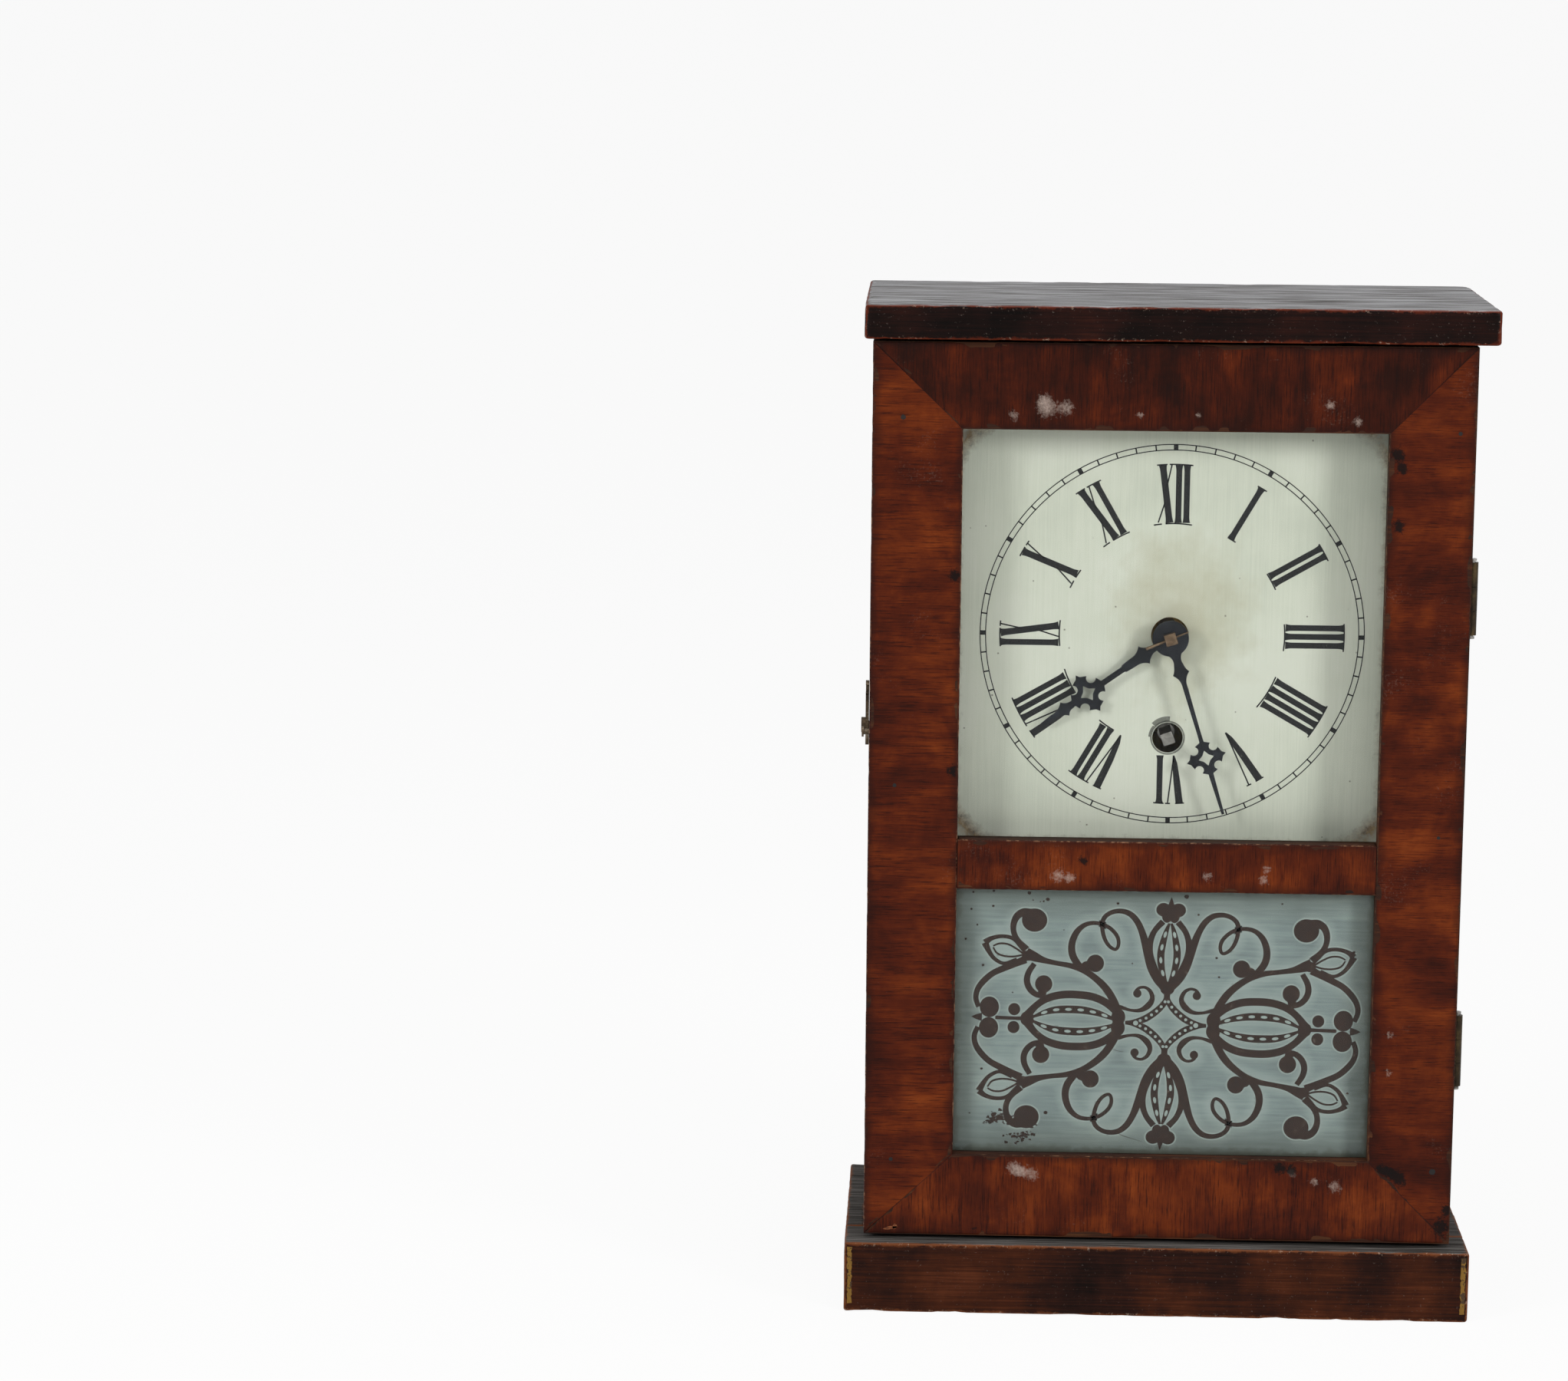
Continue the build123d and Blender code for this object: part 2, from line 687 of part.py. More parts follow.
save("dial_strips", *strips)
save("dial_tacks", *dial_tacks)


# Hands, drawn pointing straight up from their own centre
def half_shape(start, *moves):
    """The right half of a hand: each move is a point, or a pair for an arc through the first."""
    edges, here = [], start
    for move in moves:
        if isinstance(move[0], tuple):
            edges.append(ThreePointArc(here, move[0], move[1]))
            here = move[1]
        else:
            edges.append(Line(here, move))
            here = move
    edges.append(Line(here, start))
    return make_face(edges)


def both_halves(half):
    """A hand is the same on both sides of its length."""
    return half + mirror(half, Plane.YZ)


def pierced_cross(distance, scale):
    """Four pointed lobes with a round bite between each pair, and a hollow-sided window."""
    lobe = [(-4.8, 2.2), (-2.4, 4.6), (-0.75, 5.4), (0.0, 6.5), (0.75, 5.4), (2.4, 4.6)]
    corners, window = [], []
    for quarter in range(4):
        turn = math.radians(-90 * quarter)
        for x, y in lobe[1:]:
            corners.append((x * math.cos(turn) - y * math.sin(turn), x * math.sin(turn) + y * math.cos(turn)))
    cross = polygon([(x * scale, y * scale) for x, y in corners])
    for sx in (-1, 1):
        for sy in (-1, 1):
            cross -= Pos(sx * 3.25 * scale, sy * 3.25 * scale) * Circle(1.45 * scale)
    for step in range(8):
        window.append(polar((2.6 if step % 2 == 0 else 1.485) * scale, 45 * step))
    cross -= polygon(window)
    return Pos(0, distance) * cross


def minute_hand_shape():
    """Round boss, pointed shoulders, thin arm, pierced cross and a straight tip."""
    arm = half_shape((0, 3.0), (2.4, 4.6), ((1.25, 6.6), (1.45, 8.4)), ((1.8, 9.8), (2.5, 11.0)),
                     ((1.15, 12.8), (0.75, 15.4)), (0.6, 30.0), (0.7, 34.6), (0, 34.6))
    tip = half_shape((0, 41.2), (0.8, 41.2), (0.42, 55.6), (0, 55.6))
    bow = Circle(minute_boss_radius)
    return bow + both_halves(arm) + both_halves(tip) + pierced_cross(37.75, 0.92)


def hour_hand_shape():
    """Round boss, wide shoulders, stepped arm, pierced cross and a small spade."""
    arm = half_shape((0, 2.0), (2.0, 4.0), ((1.05, 5.9), (1.65, 7.9)), ((2.3, 8.8), (3.15, 9.4)),
                     ((1.85, 11.0), (1.42, 13.4)), (1.2, 16.8), (0.85, 16.8), (0.85, 26.0), (0, 26.0))
    tip = half_shape((0, 33.4), (1.0, 33.4), (0.95, 35.4), ((1.3, 36.9), (2.4, 38.1)),
                     ((1.15, 39.8), (0.8, 42.5)), (0.5, 46.4), (0, 46.4))
    return Circle(hour_boss_radius) + both_halves(arm) + both_halves(tip) + pierced_cross(29.7, 1.0)


hour_hand_back = dial_y - hour_hand_gap
minute_hand_back = dial_y - minute_hand_gap
pipe_end = hour_hand_back - hand_thickness - hour_pipe_nose_proud
hour_face = Rot(0, 0, -hour_hand_angle) * (hour_hand_shape() - Circle(hour_pipe_nose_radius + fit))
save("hour_hand", upright(hour_face, (hour_hand_back - hand_thickness, hour_hand_back), *centre))
square_hole = Rectangle(hand_square + 2 * hand_fit, hand_square + 2 * hand_fit)
minute_face = Rot(0, 0, -minute_hand_angle) * (minute_hand_shape() - square_hole)
save("minute_hand", upright(minute_face, (minute_hand_back - hand_thickness, minute_hand_back), *centre))

# Centre arbor: turns in both plates, carries the motion work's first pinion and the minute hand
square_y = (minute_hand_back - hand_thickness - hand_square_proud, minute_hand_back)
pin_y = minute_hand_back - hand_thickness - hand_pin_offset
arbor = bar_y(centre[0], (square_y[1], back_plate_y - end_shake), centre[1], centre_arbor_radius)
arbor_end = (back_plate_y - end_shake, back_plate_back_y + pivot_proud)
arbor += bar_y(centre[0], arbor_end, centre[1], centre_pivot_radius)
square = Rot(0, 0, -minute_hand_angle) * Rectangle(hand_square, hand_square)
arbor += upright(square, square_y, *centre)
arbor += upright(Circle(hand_shoulder[0]), (square_y[1], square_y[1] + hand_shoulder[1]), *centre)
pin_axis = Pos(centre[0], pin_y, centre[1]) * Rot(0, 90 - hand_pin_tilt, 0)
arbor -= pin_axis * Cylinder(hand_pin_thick + fit, 2 * hand_square)
save("centre_arbor", arbor)
pin_shift = (hand_pin_through - 0.5) * hand_pin_length
hand_pin = pin_axis * Pos(0, 0, pin_shift) * Cone(hand_pin_thick, hand_pin_thin, hand_pin_length)
save("hand_pin", hand_pin)
cannon_radius = pinion_radius(motion_distance, minute_wheel_teeth, cannon_teeth)
cannon_face = polygon(leaf_outline(cannon_teeth, cannon_radius, bearing_to(centre, minute_stud)))
save("cannon_pinion", upright(cannon_face - Circle(centre_arbor_radius + fit), cannon_layer, *centre))

# Minute wheel and its pinion, on a stud beside the centre
minute_wheel_radius = motion_distance - cannon_radius
outline = wheel_outline(minute_wheel_teeth, minute_wheel_radius, bearing_to(minute_stud, centre))
minute_wheel = upright(crossed(outline, stud_radius + running), minute_wheel_layer, *minute_stud)
minute_pinion_radius = pinion_radius(motion_distance, hour_wheel_teeth, minute_pinion_teeth)
outline = leaf_outline(minute_pinion_teeth, minute_pinion_radius, bearing_to(minute_stud, centre))
leaves = polygon(outline) - Circle(stud_radius + running)
minute_wheel += upright(leaves, minute_pinion_layer, *minute_stud)
save("minute_wheel", minute_wheel)

# Hour wheel, on a pipe that turns on the centre arbor and carries the hour hand
hour_wheel_radius = motion_distance - minute_pinion_radius
outline = wheel_outline(hour_wheel_teeth, hour_wheel_radius, bearing_to(centre, minute_stud))
pipe_bore = centre_arbor_radius + running
hour_wheel = upright(crossed(outline, pipe_bore), hour_wheel_layer, *centre)
pipe = Circle(hour_pipe_radius) - Circle(pipe_bore)
hour_wheel += upright(pipe, (hour_hand_back, hour_wheel_layer[0]), *centre)
nose = Circle(hour_pipe_nose_radius) - Circle(pipe_bore)
hour_wheel += upright(nose, (pipe_end, hour_hand_back), *centre)
save("hour_wheel", hour_wheel)


# Plates: the back one has ears for its screws
def plate_face():
    """A rectangle with rounded corners and round windows, centred on the centre arbor."""
    middle_z = (plate_low + plate_high) / 2
    face = Pos(0, middle_z) * RectangleRounded(2 * plate_half_width, plate_high - plate_low, plate_corner)
    for x, z, radius in plate_windows:
        face -= Pos(x, z) * Circle(radius)
    return face


def hole(face, place, radius):
    """A round hole at a point of the movement."""
    return face - Pos(place[0] - centre[0], place[1] - centre[1]) * Circle(radius)


front_face = plate_face()
back_face = plate_face()
for dz in (pillar_low, pillar_high):
    back_face += Pos(0, dz) * Rectangle(2 * ear_half_width, 2 * ear_half_height)
for x, z, radius in plate_windows:
    back_face -= Pos(x, z) * Circle(radius)
for place in pillars:
    front_face = hole(front_face, place, tenon_radius + fit)
    back_face = hole(back_face, place, tenon_radius + fit)
front_face = hole(front_face, centre, centre_arbor_radius + running)
back_face = hole(back_face, centre, centre_pivot_radius + running)
front_face = hole(front_face, third, pivot_radius + running)
back_face = hole(back_face, third, pivot_radius + running)
front_face = hole(front_face, escape, small_arbor_radius + running)
back_face = hole(back_face, escape, pivot_radius + running)
front_face = hole(front_face, winding, winding_neck_radius + running)
back_face = hole(back_face, winding, winding_pivot_radius + running)
verge_stud = (pendulum_x, verge_z)
suspension = (pendulum_x, suspension_z)
front_face = hole(front_face, minute_stud, stud_radius + fit)
front_face = hole(front_face, verge_stud, verge_stud_radius + fit)
front_face = hole(front_face, suspension, tenon_radius + fit)
for place in screws:
    back_face = hole(back_face, place, screw_radius + screw_play)
save("front_plate", upright(front_face, (plate_y, plate_inner_y), *centre))
save("back_plate", upright(back_face, (back_plate_y, back_plate_back_y), *centre))

# Pillars and their pins
posts, post_pins = [], []
pin_clear = pillar_pin_radius + fit
pin_depth = plate_y - pin_clear
for x, z in pillars:
    post = bar_y(x, (plate_inner_y, back_plate_y), z, pillar_radius)
    post += bar_y(x, (plate_y - tenon_proud, back_plate_back_y), z, tenon_radius)
    post -= bar_z(x, pin_depth, (z - 2 * tenon_radius, z + 2 * tenon_radius), pin_clear)
    posts.append(post)
    ends = (z - pillar_pin_length / 2, z + pillar_pin_length / 2)
    post_pins.append(bar_z(x, pin_depth, ends, pillar_pin_radius))
save("pillars", *posts)
save("pillar_pins", *post_pins)

# Battens on the back board, and the four screws that hold the movement to them
battens = []
for dz in (pillar_low, pillar_high):
    z = (arbor_z + dz - batten_height / 2, arbor_z + dz + batten_height / 2)
    x = (arbor_x - batten_half_length, arbor_x + batten_half_length)
    battens.append(board(x, (back_plate_back_y, back_board_y), z))
movement_screws = []
for x, z in screws:
    shank = (back_plate_y, back_board_y - screw_wood)
    battens = [batten - bar_y(x, shank, z, screw_radius + fit) for batten in battens]
    screw = bar_y(x, shank, z, screw_radius)
    screw += bar_y(x, (back_plate_y - screw_head_thickness, back_plate_y), z, screw_head_radius)
    head_y = back_plate_y - screw_head_thickness
    slot_z = (z - screw_slot[0] / 2, z + screw_slot[0] / 2)
    slot_x = (x - 2 * screw_head_radius, x + 2 * screw_head_radius)
    screw -= board(slot_x, (head_y - 1, head_y + screw_slot[1]), slot_z)
    movement_screws.append(screw)
save("movement_battens", *battens)
save("movement_screws", *movement_screws)

# Great wheel, loose on the winding arbor
centre_pinion_radius = pinion_radius(winding_drop, great_teeth, centre_pinion_pins)
great_radius = winding_drop - centre_pinion_radius
outline = wheel_outline(great_teeth, great_radius, bearing_to(winding, centre))
great_face = crossed(outline, winding_arbor_radius + running, *great_crossing)
click_dx, click_dz = polar(click_distance, click_bearing)
great_face -= Pos(click_dx, click_dz) * Circle(click_pin_radius + fit)
foot_dx, foot_dz = polar(click_distance, click_bearing + click_spring_foot)
great_face -= Pos(foot_dx, foot_dz) * Circle(click_spring_radius + fit)
save("great_wheel", upright(great_face, great_layer, *winding))

# Centre wheel and its lantern pinion, held on the centre arbor by friction
pinion = lantern_pinion(*centre, centre_pinion_layer, centre_pinion_pins, centre_pinion_radius,
                        bearing_to(centre, winding), centre_arbor_radius + running)
save("centre_pinion", pinion)
third_pinion_radius = pinion_radius(third_distance, centre_teeth, third_pinion_pins)
outline = wheel_outline(centre_teeth, third_distance - third_pinion_radius, bearing_to(centre, third))
centre_face = crossed(outline, centre_arbor_radius + running, *centre_crossing)
save("centre_wheel", upright(centre_face, centre_wheel_layer, *centre))
washer = Circle(washer_radius) - Circle(centre_arbor_radius + fit)
washer_front = centre_wheel_layer[1] + running
washer_layer = (washer_front, washer_front + washer_thickness)
save("tension_washer", upright(washer, washer_layer, *centre))


def small_arbor(place, front_end):
    """A thin arbor with a pivot in the back plate, which runs forward to front_end."""
    body = bar_y(place[0], (front_end, back_plate_y - end_shake), place[1], small_arbor_radius)
    pivot = (back_plate_y - end_shake, back_plate_back_y + pivot_proud)
    return body + bar_y(place[0], pivot, place[1], pivot_radius)


# Third wheel
third_arbor = small_arbor(third, plate_inner_y + end_shake)
third_arbor += bar_y(third[0], (plate_y - pivot_proud, plate_inner_y + end_shake), third[1], pivot_radius)
third_arbor += lantern_pinion(*third, third_pinion_layer, third_pinion_pins, third_pinion_radius,
                              bearing_to(third, centre), 0)
save("third_arbor", third_arbor)
escape_pinion_radius = pinion_radius(escape_distance, third_teeth, escape_pinion_pins)
third_wheel_radius = escape_distance - escape_pinion_radius
outline = wheel_outline(third_teeth, third_wheel_radius, bearing_to(third, escape))
third_face = crossed(outline, small_arbor_radius + fit, *third_crossing)
save("third_wheel", upright(third_face, third_wheel_layer, *third))

# Escape wheel, outside the front plate
escape_arbor = small_arbor(escape, at_depth(escape_arbor_end))
escape_arbor += lantern_pinion(*escape, escape_pinion_layer, escape_pinion_pins, escape_pinion_radius,
                               bearing_to(escape, third), 0)
collar_layer = ahead(escape_collar_from, escape_wheel_from)
escape_arbor += bar_y(escape[0], collar_layer, escape[1], 2 * small_arbor_radius)
save("escape_arbor", escape_arbor)
outline = saw_outline(escape_teeth, escape_radius, escape_tooth_depth, 0.0, escape_lean)
escape_face = crossed(outline, small_arbor_radius + fit, *escape_crossing)
save("escape_wheel", upright(escape_face, escape_wheel_layer, *escape))

# Winding arbor and its ratchet
winding_front = dial_y - winding_square_proud
winding_shoulder = plate_inner_y + end_shake
arbor_y = (winding_shoulder, back_plate_y - end_shake)
winding_arbor = bar_y(winding[0], arbor_y, winding[1], winding_arbor_radius)
pivot_y = (arbor_y[1], back_plate_back_y + pivot_proud)
winding_arbor += bar_y(winding[0], pivot_y, winding[1], winding_pivot_radius)
neck = (winding_front + winding_square_length, winding_shoulder)
winding_arbor += bar_y(winding[0], neck, winding[1], winding_neck_radius)
key_square = Rot(0, 0, winding_square_turn) * Rectangle(winding_square, winding_square)
winding_arbor += upright(key_square, (winding_front, neck[0]), *winding)
save("winding_arbor", winding_arbor)
nose_bearing = click_bearing + click_sweep
ratchet_bearing = nose_bearing + ratchet_play
outline = saw_outline(ratchet_teeth, ratchet_radius, ratchet_depth, ratchet_bearing, 0.0)
ratchet_face = polygon(outline) - Circle(winding_arbor_radius + fit)
save("ratchet_wheel", upright(ratchet_face, ratchet_layer, *winding))

# Click, its rivet in the great wheel, and its wire spring
click_centre = (winding[0] + click_dx, winding[1] + click_dz)
nose_out = ratchet_radius + click_lift
heel = 0.9 * click_boss_radius
click_corners = [
    polar(nose_out, nose_bearing),
    polar(nose_out + click_nose_height, nose_bearing - 1),
    polar(click_distance + heel, click_bearing + 4),
    polar(click_distance - heel, click_bearing + 4),
    polar(nose_out + click_relief[0], nose_bearing + click_relief[1]),
]
click_face = polygon(click_corners) + Pos(click_dx, click_dz) * Circle(click_boss_radius)
click_face -= Pos(click_dx, click_dz) * Circle(click_pin_radius + running)
save("click", upright(click_face, click_layer, *winding))
rivet_seat = click_layer[0] - click_play
rivet = bar_y(click_centre[0], (rivet_seat, great_layer[1]), click_centre[1], click_pin_radius)
rivet_head_y = (rivet_seat - click_rivet_head[1], rivet_seat)
rivet += bar_y(click_centre[0], rivet_head_y, click_centre[1], click_rivet_head[0])
save("click_rivet", rivet)
spring_y = (click_layer[0] + click_layer[1]) / 2
foot = (winding[0] + foot_dx, winding[1] + foot_dz)
click_spring = bar_y(foot[0], (spring_y - click_spring_radius, great_layer[1]), foot[1], click_spring_radius)
bends = [polar(click_distance + out, click_bearing + turn) for out, turn in click_spring_bends]
wire = [foot] + [(winding[0] + x, winding[1] + z) for x, z in bends]
for start, end in zip(wire, wire[1:]):
    length = math.hypot(end[0] - start[0], end[1] - start[1])
    middle = Pos((start[0] + end[0]) / 2, spring_y, (start[1] + end[1]) / 2)
    click_spring += middle * Rot(0, bearing_to(start, end), 0) * Cylinder(click_spring_radius, length)
    click_spring += Pos(end[0], spring_y, end[1]) * Sphere(click_spring_radius)
click_spring += Pos(foot[0], spring_y, foot[1]) * Sphere(click_spring_radius)
save("click_spring", click_spring)

# Mainspring: half turns whose radius grows by one step each, then a straight end to a pillar
step = (spring_outer_radius - spring_inner_radius) / spring_half_turns
hook_post = pillars[0]
post_distance = math.hypot(hook_post[0] - winding[0], hook_post[1] - winding[1])
lead = math.degrees(math.acos(spring_outer_radius / post_distance))
end_bearing = bearing_to(winding, hook_post) - lead
start_bearing = end_bearing - 180 * spring_half_turns
inner_edges, outer_edges = [], []
for turn in range(spring_half_turns):
    radius = spring_inner_radius + (turn + 0.5) * step
    side = 1 if turn % 2 == 0 else -1
    middle_of_turn = polar(-side * step / 2, start_bearing)
    begin = start_bearing + 180 * turn
    for edges, side_step in ((inner_edges, -spring_thickness / 2), (outer_edges, spring_thickness / 2)):
        r = radius + side_step
        three = [polar(r, begin + angle) for angle in (0, 90, 180)]
        three = [(middle_of_turn[0] + x, middle_of_turn[1] + z) for x, z in three]
        edges.append(ThreePointArc(*three))
ends = [edges[-1] @ 1 for edges in (inner_edges, outer_edges)]
target = (hook_post[0] - winding[0], hook_post[1] - winding[1])
to_post = Vector(*target) - (ends[0] + ends[1]) / 2
straight = to_post.normalized() * (to_post.length - pillar_radius - fit)
tips = [point + straight for point in ends]
starts = [edges[0] @ 0 for edges in (inner_edges, outer_edges)]
loop = inner_edges + [Line(ends[0], tips[0]), Line(tips[0], tips[1]), Line(tips[1], ends[1])]
loop += outer_edges + [Line(starts[0], starts[1])]
save("mainspring", upright(make_face(loop), spring_layer, *winding))

# Verge: a bent strip over the escape wheel, on a saddle that turns on a stud
pallet_left = polar(pallet_radius, -pallet_bearing)
pallet_right = polar(pallet_radius, pallet_bearing)
strip_top = (0, verge_z - escape[1] - saddle_radius)
inner_arc = ThreePointArc(pallet_left, strip_top, pallet_right)


def grown(point, amount):
    """A point moved straight out from the strip's own centre."""
    away = Vector(*point) - inner_arc.arc_center
    return inner_arc.arc_center + away.normalized() * (away.length + amount)


far = [grown(point, verge_thickness) for point in (pallet_right, strip_top, pallet_left)]
strip = make_face([inner_arc, Line(inner_arc @ 1, far[0]), ThreePointArc(*far), Line(far[2], inner_arc @ 0)])
verge = upright(strip, verge_layer, *escape)
saddle_y = ahead(*saddle_span)
verge += bar_y(pendulum_x, saddle_y, verge_z, saddle_radius)
verge -= bar_y(pendulum_x, (saddle_y[0] - 1, saddle_y[1] + 1), verge_z, verge_stud_radius + running)
save("verge", verge)


def plate_stud(place, radius, shoulder, seat, head):
    """A stud riveted in the front plate, with a shoulder behind what turns on it and a head ahead."""
    stud = bar_y(place[0], (at_depth(seat), plate_inner_y), place[1], radius)
    stud += bar_y(place[0], ahead(seat, head), place[1], radius + stud_head_step)
    return stud + bar_y(place[0], (at_depth(shoulder), plate_y), place[1], radius + stud_shoulder_step)


verge_pin = plate_stud(verge_stud, verge_stud_radius, verge_stud_shoulder, verge_stud_seat, verge_stud_end)
minute_pin = plate_stud(minute_stud, stud_radius, minute_stud_shoulder, minute_stud_seat, minute_stud_end)
save("plate_studs", minute_pin, verge_pin)

# Crutch: a wire down from the saddle, with a fork round the pendulum rod
prong = rod_radius + fork_gap + crutch_wire_radius
crutch = bar_z(pendulum_x, crutch_y, (crutch_z, verge_z - saddle_radius - fit), crutch_wire_radius)
half_bar = prong + crutch_wire_radius
crutch += bar_x((pendulum_x - half_bar, pendulum_x + half_bar), crutch_y, crutch_z, crutch_wire_radius)
for s in (-1, 1):
    crutch += bar_y(pendulum_x + s * prong, (crutch_y - fork_length, crutch_y), crutch_z, crutch_wire_radius)
save("crutch", crutch)

# Pendulum: its post on the front plate, the suspension spring, the rod, the bob and the nut
strip_x, strip_y, strip_z = suspension_strip
post_end = pendulum_y - strip_y / 2 - suspension_post_end
cock = bar_y(pendulum_x, (post_end, plate_y), suspension_z, suspension_post_radius)
cock += bar_y(pendulum_x, (plate_y, plate_inner_y), suspension_z, tenon_radius)
half_slot = strip_y / 2 + suspension_slot_play
slot_y = (pendulum_y - half_slot, pendulum_y + half_slot)
slot_z = [suspension_z + offset for offset in suspension_slot_span]
cock -= board((pendulum_x - suspension_slot / 2, pendulum_x + suspension_slot / 2), slot_y, slot_z)
save("suspension_post", cock)
spring_high = suspension_z + suspension_strip_above
spring_low = spring_high - strip_z
spring_y = (pendulum_y - strip_y / 2, pendulum_y + strip_y / 2)
spring = board((pendulum_x - strip_x / 2, pendulum_x + strip_x / 2), spring_y, (spring_low, spring_high))
save("suspension_spring", spring)
bob_z = suspension_z - bob_drop
rod_low = bob_z - bob_radius - rating_nut_height - rod_below_nut
rod = bar_z(pendulum_x, pendulum_y, (rod_low, spring_low + rod_overlap), rod_radius)
half_split = strip_x / 2 + fit
split_z = (spring_low - fit, spring_low + rod_overlap + 1)
rod -= board((pendulum_x - half_split, pendulum_x + half_split), (pendulum_y - 2, pendulum_y + 2), split_z)
save("pendulum_rod", rod)
half_bob_thickness = bob_thickness / 2
shoulder = (bob_radius * bob_shoulder[0], half_bob_thickness - bob_shoulder[1])
half_bob = make_face([
    Line((0, -half_bob_thickness), (0, half_bob_thickness)),
    ThreePointArc((0, half_bob_thickness), shoulder, (bob_radius, bob_edge / 2)),
    Line((bob_radius, bob_edge / 2), (bob_radius, -bob_edge / 2)),
    ThreePointArc((bob_radius, -bob_edge / 2), (shoulder[0], -shoulder[1]), (0, -half_bob_thickness)),
])
bob = Pos(pendulum_x, pendulum_y, bob_z) * revolve(half_bob, Axis.Y)
bob -= bar_z(pendulum_x, pendulum_y, (bob_z - 2 * bob_radius, bob_z + 2 * bob_radius), rod_radius + fit)
save("pendulum_bob", bob)
nut_top = bob_z - bob_radius - running
nut = bar_z(pendulum_x, pendulum_y, (nut_top - rating_nut_height, nut_top), rating_nut_radius)
nut -= bar_z(pendulum_x, pendulum_y, (nut_top - 4, nut_top + 1), rod_radius + fit)
save("rating_nut", nut)
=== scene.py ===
import math
import bpy
import bmesh
import numpy as np
from mathutils import Matrix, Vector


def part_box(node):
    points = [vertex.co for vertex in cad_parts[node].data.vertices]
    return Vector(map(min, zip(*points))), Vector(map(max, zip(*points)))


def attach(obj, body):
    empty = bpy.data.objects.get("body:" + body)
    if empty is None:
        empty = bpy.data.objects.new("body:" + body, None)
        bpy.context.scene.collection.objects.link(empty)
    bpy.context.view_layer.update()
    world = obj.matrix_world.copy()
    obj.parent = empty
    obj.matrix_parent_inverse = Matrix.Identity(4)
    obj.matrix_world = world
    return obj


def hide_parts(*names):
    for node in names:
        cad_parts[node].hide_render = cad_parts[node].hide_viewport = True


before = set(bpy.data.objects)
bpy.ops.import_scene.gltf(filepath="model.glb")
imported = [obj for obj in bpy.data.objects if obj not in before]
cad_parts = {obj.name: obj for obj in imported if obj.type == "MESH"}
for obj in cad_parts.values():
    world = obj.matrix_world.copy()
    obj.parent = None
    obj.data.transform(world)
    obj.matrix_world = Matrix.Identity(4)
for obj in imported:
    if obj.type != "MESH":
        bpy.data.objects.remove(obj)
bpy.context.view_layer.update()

# Everything below is worked out in millimetres and written to the meshes in metres
MM = 0.001

# Photograph frame and camera, solved from the clock's corners
PHOTO_WIDTH = 2044
FOCAL_PIXELS = 5772.37
CAMERA_AT = (-65.62, -1331.06, 416.67)
CAMERA_YAW = -0.0371
CAMERA_PITCH = -0.1737
CAMERA_ROLL = -0.0077
SENSOR = 36.0

# Veneer sheets on the door frame
VENEER_THICK = 1.2
VENEER_PROUD = 0.08
VENEER_ROUND = 0.6
VENEER_STEP = 1.0
VENEER_WEAR = 0.45
JOINT_ROUND = 0.14

# Wear of all worn boards: how far it reaches in from the arris, and the length of a bite, a nick and a swell
ARRIS_WEAR_REACH = 1.4
BITE_LENGTH = 5.0
NICK_LENGTH = 1.6
SWELL_LENGTH = 34.0

# Cap and plinth, and the eased arrises of the boards behind the veneer
BOARD_STEP = 1.8
CAP_ROUND = (1.3, 1.0, 0.9)
CAP_WEAR = 0.7
PLINTH_ROUND = (0.9, 0.8, 0.8)
PLINTH_WEAR = 0.6
CORE_CHAMFER = 0.6

# Printing on the dial
RING_CENTRE = (1.6, 205.2)
RING_OUTER = 57.4
RING_INNER = 55.6
RING_LINE = 0.3
TICK_WIDTH = 0.42
BLOCK_WIDTH = 1.35
NUMERAL_LOW = 33.6
NUMERAL_HIGH = 51.3
THICK_STROKE = 1.75
HAIR_STROKE = 0.42
SERIF_REACH = 1.75
PRINT_PROUD = 0.03
PRINT_THICK = 0.025
NUMERAL_FLARE = 0.55
WINDING_HOLE = (1.0, 174.0)
WEAR_BEHIND = 0.01
WEAR_THICK = 0.015

# Stencil ornament on the tablet, about its own middle
ORNAMENT_CENTRE = (1.9, 88.2)
ORNAMENT_TILT = math.radians(-1.4)
ORNAMENT_STRETCH = (1.015, 1.03)


def box_mm(node):
    """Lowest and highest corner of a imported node, in millimetres."""
    low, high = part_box(node)
    return np.array(low) / MM, np.array(high) / MM


def shade(code):
    """The linear colour of an sRGB hex value."""
    parts = [int(code[i:i + 2], 16) / 255 for i in (1, 3, 5)]
    return tuple(p / 12.92 if p <= 0.04045 else ((p + 0.055) / 1.055) ** 2.4 for p in parts) + (1.0,)


def add(tree, kind, settings=None):
    """Adds one node. A setting goes to the property of its name or else to the input of that name or number that is
    in use. A node or a socket is linked to the input, and any other value is set on it, a hex colour as its linear
    one. stops fill a colour ramp, and span is what a map range takes values from and to. A node that is linked gives
    its Fac or else its first output in use."""
    node = tree.nodes.new("ShaderNode" + kind)
    for name, value in (settings or {}).items():
        if name == "stops":
            ramp = node.color_ramp
            while len(ramp.elements) < len(value):
                ramp.elements.new(1.0)
            for element, (place, code) in zip(ramp.elements, value):
                element.position = place
                element.color = shade(code)
        elif name == "span":
            for side, number in zip(("From Min", "From Max", "To Min", "To Max"), value):
                node.inputs[side].default_value = number
        elif isinstance(name, str) and hasattr(node, name):
            setattr(node, name, value)
        else:
            inputs = {socket.name: socket for socket in reversed(node.inputs) if socket.enabled}
            target = inputs[name] if isinstance(name, str) else node.inputs[name]
            if isinstance(value, bpy.types.Node):
                in_use = [socket for socket in value.outputs if socket.enabled]
                value = value.outputs.get("Fac", in_use[0])
            if isinstance(value, bpy.types.NodeSocket):
                tree.links.new(value, target)
            else:
                target.default_value = shade(value) if isinstance(value, str) else value
    return node


